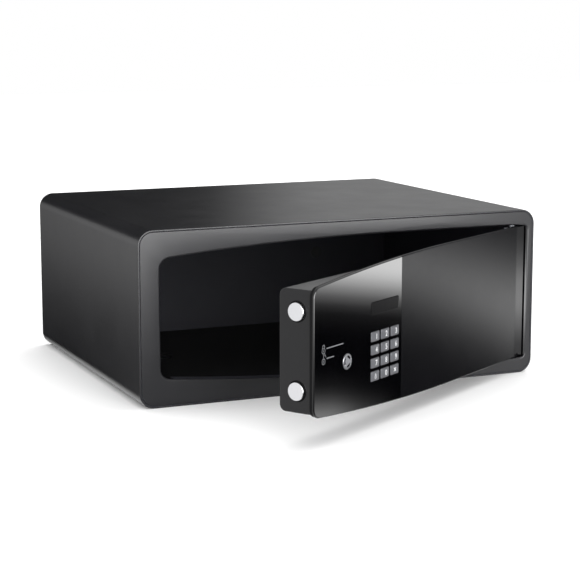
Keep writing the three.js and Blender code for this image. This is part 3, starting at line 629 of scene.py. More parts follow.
def plate(
    outline: Outline,
    y: Pair,
    holes: Sequence[Outline] = (),
    rim: float = 0.0,
    rear_rim: float = 0.0,
    lip: float = 0.0,
    depth: float | None = None,
    segments: int = 3,
) -> BMesh:
    """Make a flat piece that stands in the plane of X and Z.

    Args:
        outline: The piece's outline.
        y: The front and rear depths.
        holes: The holes through it, or pockets where a depth is given.
        rim: The radius of the front edge.
        rear_rim: The radius of the rear edge.
        lip: The radius of each hole's front edge.
        depth: How deep the pockets go.
        segments: The steps of each edge radius.

    Returns:
        The closed shape.
    """
    bm = bmesh.new()
    extrude(bm, outline.face(bm, y[0]), Vector((0, y[1] - y[0], 0)))
    for direction, radius in ((FRONT, rim), (REAR, rear_rim)):
        if radius:
            round_edges(bm, cap_of(bm, direction).edges, radius, segments)
    end = y[1] if depth is None else y[0] + depth
    steps = [(y[0], 0.0)]
    if lip:
        turns = [math.pi / 2 * i / segments for i in range(segments + 1)]
        steps = [(y[0] + lip * (1 - math.cos(turn)), lip * (1 - math.sin(turn))) for turn in turns]
    rings = [[hole.loop(bm, at, grow) for at, grow in steps] + [hole.loop(bm, end)] for hole in holes]
    if holes:
        punch(bm, cap_of(bm, FRONT), [ring[0] for ring in rings])
    if holes and depth is None:
        punch(bm, cap_of(bm, REAR), [ring[-1] for ring in rings])
    for ring in rings:
        for first, last in zip(ring, ring[1:]):
            bmesh.ops.bridge_loops(bm, edges=first + last)
        if depth is not None:
            bmesh.ops.edgeloop_fill(bm, edges=ring[-1])
    return bm


def lathe(profile: Sequence[Pair], centre: Vector, axis: Vector, steps: int = 64) -> BMesh:
    """Turn a profile about an axis.

    Args:
        profile: Pairs of radius and distance along the axis.
        centre: Where the axis starts.
        axis: The axis' direction, of length 1.
        steps: The steps of the full turn.

    Returns:
        The turned shape.
    """
    bm = bmesh.new()
    side = axis.orthogonal().normalized()
    verts = [bm.verts.new(centre + along * axis + radius * side) for radius, along in profile]
    edges = [bm.edges.new(pair) for pair in zip(verts, verts[1:])]
    bmesh.ops.spin(
        bm, geom=verts + edges, cent=centre, axis=axis, angle=2 * math.pi, steps=steps, use_merge=True
    )
    return bm


def eased(profile: Sequence[Pair], radius: float, steps: int = 4) -> list[Pair]:
    """Round the inner corners of a lathe profile whose lines run along or across the axis.

    Args:
        profile: Pairs of radius and distance along the axis.
        radius: The corner radius.
        steps: The steps of each arc.

    Returns:
        The profile with its arcs.
    """
    made = [profile[0]]
    for before, here, after in zip(profile, profile[1:], profile[2:]):
        spot = Vector(here)
        back = (Vector(before) - spot).normalized() * radius
        ahead = (Vector(after) - spot).normalized() * radius
        turns = [math.pi / 2 * i / steps for i in range(steps + 1)]
        arc = [spot + back * (1 - math.sin(turn)) + ahead * (1 - math.cos(turn)) for turn in turns]
        made += [(point.x, point.y) for point in arc]
    return [*made, profile[-1]]


def add_shape(bm: BMesh, other: BMesh, material: int = 0) -> None:
    """Add a second shape to the first, and free it.

    Args:
        bm: The shape that grows.
        other: The shape that is added.
        material: The material number of the added faces.
    """
    for face in other.faces:
        face.material_index = material
    mesh = bpy.data.meshes.new("added")
    other.to_mesh(mesh)
    other.free()
    bm.from_mesh(mesh)
    bpy.data.meshes.remove(mesh)


def new_object(name: str, bm: BMesh) -> bpy.types.Object:
    """Turn a shape into an object of the scene, and free the shape."""
    mesh = bpy.data.meshes.new(name)
    bm.to_mesh(mesh)
    bm.free()
    made = bpy.data.objects.new(name, mesh)
    bpy.context.scene.collection.objects.link(made)
    return made


def new_sheet(name: str, width: float, height: float) -> bpy.types.Object:
    """Add a flat rectangle, centred on the origin, to the scene."""
    bm = bmesh.new()
    bmesh.ops.create_grid(bm, x_segments=1, y_segments=1, size=0.5)
    bmesh.ops.scale(bm, verts=bm.verts, vec=(width, height, 1))
    return new_object(name, bm)


def moved(bm: BMesh, matrix: Matrix) -> BMesh:
    """Move or turn a shape, and return it."""
    bmesh.ops.transform(bm, matrix=matrix, verts=bm.verts)
    return bm


def about(axis: str, degrees: float, spot: Vector) -> Matrix:
    """Return a turn about an axis through a point."""
    turn = Matrix.Rotation(math.radians(degrees), 4, axis)
    return Matrix.Translation(spot) @ turn @ Matrix.Translation(-spot)


# Print


def flat(*shapes: Sequence[Outline]) -> BMesh:
    """Draw flat shapes at a depth of 0.

    Args:
        *shapes: For each shape its outline, and then the outlines of its holes.

    Returns:
        The shapes.
    """
    bm = bmesh.new()
    for shape in shapes:
        edges = [edge for outline in shape for edge in outline.loop(bm, 0.0)]
        bmesh.ops.triangle_fill(bm, use_beauty=True, use_dissolve=False, edges=edges, normal=FRONT)
    return bm


def lettering(text: str, height: float) -> BMesh:
    """Draw flat lettering at a depth of 0, centred on the origin.

    Args:
        text: The text.
        height: Its height.

    Returns:
        The lettering.
    """
    curve = bpy.data.curves.new("lettering", "FONT")
    curve.body = text
    holder = bpy.data.objects.new("lettering", curve)
    mesh = bpy.data.meshes.new_from_object(holder)
    bm = bmesh.new()
    bm.from_mesh(mesh)
    bpy.data.objects.remove(holder)
    bpy.data.curves.remove(curve)
    bpy.data.meshes.remove(mesh)
    moved(bm, STAND_UP)
    xs, zs = ([vert.co[i] for vert in bm.verts] for i in (0, 2))
    centre = Vector(((min(xs) + max(xs)) / 2, 0, (min(zs) + max(zs)) / 2))
    return moved(bm, Matrix.Scale(height / (max(zs) - min(zs)), 4) @ Matrix.Translation(-centre))


def lay_ink(shape: BMesh, surface: Callable[[float, float], float], ink: float = 0.04 * MM) -> BMesh:
    """Turn flat shapes into a thin layer on a surface.

    Args:
        shape: The flat shapes, which are changed.
        surface: Gives the surface's depth at a place along X and Z.
        ink: How far the layer stands out, and how deep it reaches.

    Returns:
        The layer.
    """
    for reach in (2 * MM, MM):
        bmesh.ops.triangulate(shape, faces=shape.faces)
        coarse = [edge for edge in shape.edges if edge.calc_length() > reach]
        bmesh.ops.subdivide_edges(shape, edges=coarse, cuts=2)
    for vert in shape.verts:
        vert.co.y = surface(vert.co.x, vert.co.z) - ink
    made = bmesh.ops.extrude_face_region(shape, geom=shape.faces[:], use_keep_orig=True)["geom"]
    bmesh.ops.translate(shape, verts=[item for item in made if isinstance(item, BMVert)], vec=(0, 2 * ink, 0))
    return shape


def padlock(x: float, z: float, height: float, swing: float) -> BMesh:
    """Draw a padlock mark: a ring with a dot in it, and a shackle.

    Args:
        x: The mark's middle along X.
        z: Its middle height.
        height: Its height.
        swing: How far the shackle is swung open, from 0 to 1.

    Returns:
        The flat mark.
    """
    unit = height / 10
    low = z - 2 * unit
    shackle = Bent(
        x + 1.8 * unit * swing, low + (3.9 + 0.7 * swing) * unit, 2 * unit, 0.7 * unit, -0.3, math.pi + 0.6
    )
    body = (Disc(x, low, 3.1 * unit), Disc(x, low, 2.4 * unit))
    return flat(body, (Disc(x, low, 0.8 * unit, 24),), (shackle,))


# Axes and pieces


@dataclass(frozen=True)
class Space:
    """Axes that pieces are modelled in.

    Attributes:
        matrix: Takes a point from these axes to the frame's.
        nodes: The frame's CAD nodes by name.
    """

    matrix: Matrix
    nodes: dict

    def box(self, *names: str) -> tuple[Vector, Vector]:
        """Return the lowest and highest corners of CAD nodes, measured in these axes."""
        back = self.matrix.inverted()
        points = [back @ vertex.co for name in names for vertex in self.nodes[name].data.vertices]
        low, high = ([pick(point[i] for point in points) for i in range(3)] for pick in (min, max))
        return Vector(low), Vector(high)

    def piece(
        self,
        name: str,
        bm: BMesh,
        body: str,
        finishes: Finish | Sequence[Finish],
        replaces: Sequence[str] = (),
        wall: float = 0.0,
        ease: float = 0.0,
        true_front: bool = False,
    ) -> bpy.types.Object:
        """Turn a shape into a finished piece in its place.

        Args:
            name: The piece's name.
            bm: The shape, in these axes. It is freed.
            body: The body that the piece rides on.
            finishes: One finish, or one for each material number of the faces.
            replaces: The CAD nodes that the piece stands for.
            wall: The thickness that an open shell gets on its inner side.
            ease: The radius that all sharp edges get.
            true_front: Whether its front is shaded dead flat, as a mirror needs.

        Returns:
            The piece.
        """
        kinds = [finishes] if isinstance(finishes, Finish) else list(finishes)
        bmesh.ops.remove_doubles(bm, verts=bm.verts, dist=WELD)
        bmesh.ops.recalc_face_normals(bm, faces=bm.faces)
        for face in bm.faces:
            face.smooth = not (true_front and face.normal.dot(FRONT) > ALIGNED)
        moved(bm, self.matrix)
        for edge in bm.edges:
            edge.smooth = len(edge.link_faces) == 2 and edge.calc_face_angle(0.0) < SHARP
        made = new_object(name, bm)
        for kind in kinds:
            made.data.materials.append(kind.material())
        if wall:
            shell = made.modifiers.new("wall", "SOLIDIFY")
            shell.thickness, shell.offset, shell.use_even_offset = wall, -1.0, True
        if ease:
            bevel = made.modifiers.new("eased_edges", "BEVEL")
            bevel.width, bevel.segments, bevel.limit_method, bevel.angle_limit = ease, 2, "ANGLE", SHARP
        weighted = made.modifiers.new("even_shading", "WEIGHTED_NORMAL")
        weighted.keep_sharp = True
        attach(made, body)
        if replaces:
            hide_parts(*replaces)
        LOG.info("%s: %d faces, rides on %s", name, len(made.data.polygons), body)
        return made


# Case


@dataclass
class Case:
    """The folded case with its front frame, back and floor mat."""

    space: Space
    body: str = "cabinet"
    corner: float = 17 * MM
    wall: float = 2 * MM
    edge: float = 0.5 * MM
    frame_lip: float = 1.9 * MM
    strip_free: float = 24.5 * MM
    strip_hinge: float = 9 * MM
    strip_level: float = 18 * MM
    level_length: float = 180 * MM
    taper_drop: float = 14 * MM
    free_corner: float = 12 * MM
    hinge_corner: float = 6 * MM
    anchor_radius: float = 6 * MM
    anchor_spacing: float = 280 * MM
    anchor_setback: float = 235 * MM
    cable_radius: float = 11 * MM
    cable_across: float = 45 * MM
    cable_up: float = 40 * MM
    mat_corner: float = 6 * MM
    mat_hole: float = 15 * MM
    mat_rim: float = 1.2 * MM
    plug_head: float = 8 * MM
    plug_rise: float = 1.2 * MM
    plug_slack: float = 0.2 * MM
    plug_rim: float = 0.3 * MM
    return_wall: float = 1.5 * MM
    return_depth: float = 12 * MM
    return_ends: Pair = (-205 * MM, 200 * MM)

    def __post_init__(self) -> None:
        """Measure the case from its CAD node."""
        self.low, self.high = self.space.box("case_wrap")
        self.middle = (self.low.z + self.high.z) / 2
        self.anchor_y = self.low.y + self.anchor_setback
        self.anchor_xs = (-self.anchor_spacing / 2, self.anchor_spacing / 2)

    def opening(self) -> Taper:
        """Return the outline of the door's opening."""
        free, hinge = self.low.x + self.strip_free, self.high.x - self.strip_hinge
        start = hinge - self.level_length
        radius = ((start - free) ** 2 + self.taper_drop**2) / (2 * self.taper_drop)
        half = self.middle - self.low.z - self.strip_level
        return Taper(free, hinge, self.middle, half, start, radius, self.free_corner, self.hinge_corner)

    def section(self, inset: float = 0.0) -> Rounded:
        """Return the case's rounded cross-section, moved inwards."""
        width, height = self.high.x - self.low.x, self.high.z - self.low.z
        return Rounded(0, self.middle, width - 2 * inset, height - 2 * inset, self.corner - inset, steps=14)

    def build(self) -> None:
        """Build every piece of the case."""
        self.wrap()
        self.front_frame()
        self.back()
        self.floor_mat()
        self.plugs()

    def wrap(self) -> None:
        """Build the folded sheet that makes the top, sides and floor."""
        depth = (self.low.y, self.high.y)
        inner = [self.section(self.wall)]
        bm = plate(self.section(), depth, inner, rim=self.edge, rear_rim=self.edge, lip=self.edge)
        anchors = [Disc(x, self.anchor_y, self.anchor_radius) for x in self.anchor_xs]
        rings = []
        for height, direction in ((self.low.z, -UP), (self.low.z + self.wall, UP)):
            loops = [anchor.loop(bm, -height, turn=LAY_DOWN) for anchor in anchors]
            punch(bm, cap_of(bm, direction, height * direction.z), loops)
            rings.append(loops)
        for first, last in zip(*rings):
            bmesh.ops.bridge_loops(bm, edges=first + last)
        bmesh.ops.recalc_face_normals(bm, faces=bm.faces)
        for face in bm.faces:
            spot = face.calc_center_median()
            outwards = Vector((spot.x, 0, spot.z - self.middle))
            # Inside faces get the paler inner coat: painted light
            face.material_index = int(face.normal.dot(outwards) < 0)
        self.space.piece("folded_case", bm, self.body, [POWDER_COAT, INNER_COAT_PAINTED_LIGHT], ["case_wrap"])

    def front_frame(self) -> None:
        """Build the frame with the tapered opening, whose edge is rolled."""
        low, high = self.space.box("front_frame")
        outline = self.section(low.x - self.low.x)
        bm = plate(outline, (low.y, high.y), [self.opening()], rim=self.edge, lip=self.frame_lip)
        self.space.piece("front_frame_plate", bm, self.body, POWDER_COAT, ["front_frame"])
        self.returns(high.y)

    def returns(self, start: float) -> None:
        """Build the flanges folded rearwards above and below the opening, which stop short of its ends.

        Args:
            start: The depth of the frame's rear.
        """
        outline = self.opening().inset(-self.return_wall)
        bm = plate(outline, (start, start + self.return_depth), [self.opening()])
        for x, beyond in zip(self.return_ends, (-1, 1)):
            cut = bisect(bm, Vector((x, 0, 0)), Vector((beyond, 0, 0)))
            bmesh.ops.triangle_fill(bm, use_beauty=True, use_dissolve=False, edges=cut)
        # The flanges get the paler inner coat, which paints their light line
        self.space.piece("front_frame_returns", bm, self.body, INNER_COAT_PAINTED_LIGHT)

    def back(self) -> None:
        """Build the back with its anchor holes and cable hole."""
        low, high = self.space.box("back_panel")
        holes = [Disc(x, self.middle, self.anchor_radius) for x in self.anchor_xs]
        holes.append(Disc(self.low.x + self.cable_across, self.low.z + self.cable_up, self.cable_radius))
        outline = self.section(low.x - self.low.x)
        bm = plate(outline, (low.y, high.y), holes, rear_rim=self.edge)
        bmesh.ops.recalc_face_normals(bm, faces=bm.faces)
        for face in bm.faces:
            # The back's front, inside the case, gets the paler inner coat: painted light
            face.material_index = int(face.normal.dot(FRONT) > ALIGNED)
        self.space.piece("back_plate", bm, self.body, [POWDER_COAT, INNER_COAT_PAINTED_LIGHT], ["back_panel"])

    def floor_mat(self) -> None:
        """Build the mat with its soft upper edge and its two cut-outs."""
        low, high = self.space.box("floor_mat")
        centre, size = (low + high) / 2, high - low
        holes = [Disc(x, self.anchor_y, self.mat_hole) for x in self.anchor_xs]
        sheet = Rounded(centre.x, centre.y, size.x, size.y, self.mat_corner)
        bm = plate(sheet, (-high.z, -low.z), holes, rim=self.mat_rim)
        moved(bm, LAY_DOWN)
        self.space.piece("felt_floor_mat", bm, self.body, FLOOR_FELT, ["floor_mat"])

    def plugs(self) -> None:
        """Build the rubber plugs that close the unused anchor holes from inside."""
        stem = self.anchor_radius - self.plug_slack
        length = self.plug_rise + self.wall - self.plug_slack / 2
        head, rise = self.plug_head, self.plug_rise
        corners = [(0, 0), (head, 0), (head, rise), (stem, rise), (stem, length), (0, length)]
        profile = eased(corners, self.plug_rim)
        for side, x in zip(("left", "right"), self.anchor_xs):
            spots = {
                "back": (Vector((x, self.high.y - self.wall - rise, self.middle)), REAR),
                "floor": (Vector((x, self.anchor_y, self.low.z + self.wall + rise)), -UP),
            }
            for where, (spot, axis) in spots.items():
                bm = lathe(profile, spot, axis, steps=40)
                self.space.piece(f"{where}_plug_{side}", bm, self.body, SILICONE)


# Door


@dataclass
class Door:
    """The door: a gloss fascia and a satin skin in front, and a folded housing behind."""

    space: Space
    opening: Taper
    body: str = "door"
    gap: float = 1.2 * MM
    gap_hinge: float = 2 * MM
    cover_rim: float = 1.1 * MM
    window_lip: float = 0.25 * MM
    key_corner: float = 1.3 * MM
    display_corner: float = 2 * MM
    housing_wall: float = 1.6 * MM
    housing_edge: float = 7 * MM
    end_rim: float = 1.1 * MM
    bay_width: float = 53.5 * MM
    bay_height: float = 61 * MM

    def build(self) -> None:
        """Build every piece of the door's shell."""
        panel = self.opening.inset(self.gap)
        self.panel = replace(panel, hinge=self.opening.hinge - self.gap_hinge)
        windows = [self.window(name, self.key_corner) for name in KEYS]
        windows.append(self.window("display_lens", self.display_corner + FIT))
        low, high = self.space.box("override_rotor")
        windows.append(Disc((low.x + high.x) / 2, (low.z + high.z) / 2, (high.x - low.x) / 2 + FIT))
        self.cover("gloss_fascia", "control_fascia", GLOSS_ACRYLIC, windows)
        self.cover("satin_skin", "door_skin", SKIN_LACQUER, [])
        self.display()
        self.housing()

    def window(self, name: str, corner: float) -> Rounded:
        """Return the window that a key's cap or the display shows through."""
        low, high = self.space.box(name)
        lip = Keypad.flange if name in KEYS else 0.0
        width, height = high.x - low.x - 2 * lip, high.z - low.z - 2 * lip
        middle = (low + high) / 2
        return Rounded(middle.x, middle.z, width + 2 * FIT, height + 2 * FIT, corner, steps=4)

    def cover(self, name: str, node: str, finish: Finish, windows: Sequence[Outline]) -> None:
        """Build a cover of the door: the panel with its rounded rim, cut off square at the seam.

        Args:
            name: The piece's name.
            node: The CAD node that it stands for.
            finish: Its finish.
            windows: The holes in it.
        """
        low, high = self.space.box(node)
        bm = plate(self.panel, (low.y, high.y), windows, rim=self.cover_rim, lip=self.window_lip)
        seam, beyond = (high, 1) if low.x - self.panel.free < MM else (low, -1)
        bmesh.ops.edgeloop_fill(bm, edges=bisect(bm, seam, Vector((beyond, 0, 0))))
        self.space.piece(name, bm, self.body, finish, [node], true_front=True)

    def display(self) -> None:
        """Build the smoked window of the display."""
        low, high = self.space.box("display_lens")
        middle, size = (low + high) / 2, high - low
        outline = Rounded(middle.x, middle.z, size.x, size.z, self.display_corner)
        bm = plate(outline, (low.y, high.y), rim=self.window_lip)
        self.space.piece("display_window", bm, self.body, SMOKED_WINDOW, ["display_lens"], true_front=True)

    def housing(self) -> None:
        """Build the folded tray, with its bolt holes and battery window."""
        low, high = self.space.box("door_housing")
        lid_low, lid_high = self.space.box("battery_lid")
        rear = lid_low.y - FIT
        start = low.x - 2 * self.housing_edge
        height = high.z - low.z
        corner = self.housing_edge + MM
        outline = Rounded((start + high.x) / 2, self.opening.middle, high.x - start, height, corner)
        bm = bmesh.new()
        extrude(bm, outline.face(bm, rear), Vector((0, low.y - rear, 0)))
        round_edges(bm, cap_of(bm, REAR).edges, self.housing_edge, 7)
        end = -ACROSS
        bmesh.ops.edgeloop_fill(bm, edges=bisect(bm, low, end))
        bmesh.ops.recalc_face_normals(bm, faces=bm.faces)
        bmesh.ops.delete(bm, geom=[cap_of(bm, FRONT)], context="FACES_ONLY")
        closed = [edge for edge in cap_of(bm, end).edges if len(edge.link_faces) == 2]
        round_edges(bm, closed, self.end_rim)
        turn = about("Z", -90, Vector((low.x, 0, 0)))
        loops = []
        for name in ("bolt_bush_upper", "bolt_bush_lower"):
            bush_low, bush_high = self.space.box(name)
            middle = (bush_low + bush_high) / 2
            hole = Disc(low.x - middle.y, middle.z, Bolts.bush_radius + FIT)
            loops.append(hole.loop(bm, 0, turn=turn))
        punch(bm, cap_of(bm, end), loops)
        middle = (lid_low + lid_high) / 2
        bay = Rounded(middle.x, self.opening.middle, self.bay_width, self.bay_height, MM)
        punch(bm, cap_of(bm, REAR), [bay.loop(bm, rear)])
        self.space.piece(
            "folded_housing", bm, self.body, HOUSING_LACQUER, ["door_housing"], wall=self.housing_wall
        )


# Keypad


KEYS = {f"key_{digit}": digit for digit in "123456789"} | {"key_lock": "", "key_0": "0", "key_clear": ""}


@dataclass
class Keypad:
    """Twelve crowned keys with their digits."""

    space: Space
    flange: float = 0.75 * MM
    corner: float = 1.1 * MM
    crown: float = 0.45 * MM
    rim: float = 0.5 * MM
    skirt: float = 3.5 * MM
    digit_height: float = 5.6 * MM
    digit_shift: float = 1.6 * MM
    bar_height: float = 0.9 * MM
    bar_corner: float = 0.4 * MM

    def crowned(self, across: float, up: float) -> float:
        """Return how far the crowned face lies back at a place, of which both parts run from -1 to 1."""
        return self.crown * (1 - (1 - across**2) * (1 - up**2))

    def build(self) -> None:
        """Build every key."""
        for name, text in KEYS.items():
            self.key(name, text)

    def key(self, name: str, text: str) -> None:
        """Build one key: a crowned cap with straight sides and its printed mark.

        Args:
            name: The CAD node that it stands for.
            text: The digit on it.
        """
        low, high = self.space.box(name)
        middle, size = (low + high) / 2, high - low
        width, height = size.x - 2 * self.flange, size.z - 2 * self.flange
        bm = bmesh.new()
        stand = Matrix.Translation((middle.x, low.y, middle.z)) @ STAND_UP
        bmesh.ops.create_grid(bm, x_segments=10, y_segments=8, size=0.5, matrix=stand)
        for vert in bm.verts:
            across, up = 2 * (vert.co.x - middle.x), 2 * (vert.co.z - middle.z)
            vert.co.x = middle.x + across * width / 2
            vert.co.z = middle.z + up * height / 2
            vert.co.y += self.crowned(across, up)
        rim = [edge for edge in bm.edges if edge.is_boundary]
        made = bmesh.ops.extrude_edge_only(bm, edges=rim)["geom"]
        for vert in (item for item in made if isinstance(item, BMVert)):
            vert.co.y = low.y + self.skirt
        bmesh.ops.recalc_face_normals(bm, faces=bm.faces)
        long_edges = [edge for edge in bm.edges if abs(edge.verts[0].co.y - edge.verts[1].co.y) > MM]
        round_edges(bm, [edge for edge in long_edges if edge.calc_face_angle(0.0) > 1], self.corner, 4)
        bm.normal_update()
        rim = [edge for edge in bm.edges if len(edge.link_faces) == 2 and 0.9 < edge.calc_face_angle(0.0) < 2]
        round_edges(bm, rim, self.rim, 3)

        def surface(x: float, z: float) -> float:
            """Return the depth of the cap's face at a place along X and Z."""
            return low.y + self.crowned(2 * (x - middle.x) / width, 2 * (z - middle.z) / height)

        spot = middle + Vector((self.digit_shift if text else 0.0, 0, 0))
        if text:
            mark = moved(lettering(text, self.digit_height), Matrix.Translation((spot.x, 0, spot.z)))
        elif name == "key_lock":
            mark = padlock(spot.x, spot.z, self.digit_height, 0)
        else:
            bar = flat((Rounded(spot.x, spot.z, self.digit_height, self.bar_height, self.bar_corner),))
            mark = bmesh.new()
            add_shape(mark, moved(bar.copy(), about("Y", 45, spot)))
            add_shape(mark, moved(bar, about("Y", -45, spot)))
        add_shape(bm, lay_ink(mark, surface), 1)
        self.space.piece(name + "_cap", bm, name + "_button", [SILVER_LACQUER, WHITE_INK], [name])


# Override lock and the print beside it


@dataclass
class OverrideLock:
    """The emergency lock's disc, and the padlocks and bars printed beside it.

    Each bar has a start, an end and a height over the middle.
    """

    space: Space
    radius: float = 8 * MM
    thickness: float = 2.6 * MM
    shaft: float = 4 * MM
    rim: float = 0.55 * MM
    lip: float = 0.15 * MM
    slot_radius: float = 5 * MM
    slot_width: float = 2.2 * MM
    slot_depth: float = 2.2 * MM
    slot_middle: float = math.radians(55)
    slot_span: float = math.radians(52)
    mark_across: float = 17.1 * MM
    mark_height: float = 10 * MM
    closed_mark_up: float = 2.7 * MM
    open_mark_up: float = -7.9 * MM
    bars: tuple[tuple[float, float, float], ...] = (
        (22.5 * MM, 53.4 * MM, 2.5 * MM),
        (22.5 * MM, 36 * MM, -7.5 * MM),
    )
    bar_height: float = 1.1 * MM
    bar_corner: float = 0.5 * MM

    def build(self) -> None:
        """Build the disc and the print."""
        low, high = self.space.box("override_rotor")
        x, z = (low.x + high.x) / 2, (low.z + high.z) / 2
        starts = [self.slot_middle - self.slot_span / 2 + i * math.tau / 3 for i in range(3)]
        slots = [Bent(x, z, self.slot_radius, self.slot_width, start, self.slot_span) for start in starts]
        depth = (low.y, low.y + self.thickness)
        disc = Disc(x, z, self.radius, 72)
        bm = plate(disc, depth, slots, rim=self.rim, lip=self.lip, depth=self.slot_depth)
        # Faces in the slots below their lip get the black nylon: painted shade for slots cut right through
        for face in bm.faces:
            spot = face.calc_center_median()
            inside = math.hypot(spot.x - x, spot.z - z) < self.slot_radius + self.slot_width
            face.material_index = int(inside and low.y + self.lip < spot.y < depth[1] - FIT)
        length = high.y - low.y
        rod = [(0, self.thickness / 2), (self.shaft, self.thickness / 2), (self.shaft, length), (0, length)]
        add_shape(bm, lathe(rod, Vector((x, low.y, z)), REAR))
        self.space.piece("override_disc", bm, "override", [SATIN_CHROME, NYLON_AND_SLOT_SHADE], ["override_rotor"])
        self.marks()

    def marks(self) -> None:
        """Build the printed padlocks, closed above and open below, each with a bar beside it."""
        low, high = self.space.box("control_fascia")
        middle = (low.z + high.z) / 2
        x = low.x + self.mark_across
        bm = padlock(x, middle + self.closed_mark_up, self.mark_height, 0)
        add_shape(bm, padlock(x, middle + self.open_mark_up, self.mark_height, 1))
        for start, end, up in self.bars:
            centre = low.x + (start + end) / 2
            bar = Rounded(centre, middle + up, end - start, self.bar_height, self.bar_corner)
            add_shape(bm, flat((bar,)))
        self.space.piece("printed_marks", lay_ink(bm, lambda *_: low.y), "door", MARK_INK)


# Bolts


@dataclass
class Bolts:
    """The two bolts in their bushes."""

    space: Space
    radius: float = 9.25 * MM
    length: float = 42 * MM
    chamfer: float = 0.8 * MM
    bush_radius: float = 10.55 * MM
    bush_flange: float = 1.5 * MM
    bush_rim: float = 0.25 * MM

    def build(self) -> None:
        """Build both bolts and both bushes."""
        for where in ("upper", "lower"):
            low, high = self.space.box(f"bolt_{where}")
            tip = Vector((low.x, (low.y + high.y) / 2, (low.z + high.z) / 2))
            nose = eased([(0, 0), (self.radius, 0), (self.radius, 2 * self.chamfer)], self.chamfer)
            bm = lathe([*nose, (self.radius, self.length), (0, self.length)], tip, ACROSS)
            self.space.piece(f"bolt_{where}_rod", bm, "bolt_carriage", POLISHED_STEEL, [f"bolt_{where}"])
            low, high = self.space.box(f"bolt_bush_{where}")
            length, inner, outer = high.x - low.x, self.radius + FIT, self.bush_radius
            behind = 2 * FIT + Door.housing_wall
            wide, flange = outer + self.bush_flange, behind + self.bush_flange
            front = [(inner, length), (inner, 0), (outer, 0), (outer, behind), (wide, behind)]
            rear = [(wide, flange), (outer, flange), (outer, length), (inner, length)]
            bm = lathe(eased(front + rear, self.bush_rim), Vector((low.x, tip.y, tip.z)), ACROSS)
            self.space.piece(f"bush_{where}_ring", bm, "door", NYLON_AND_SLOT_SHADE, [f"bolt_bush_{where}"])


# Battery bay


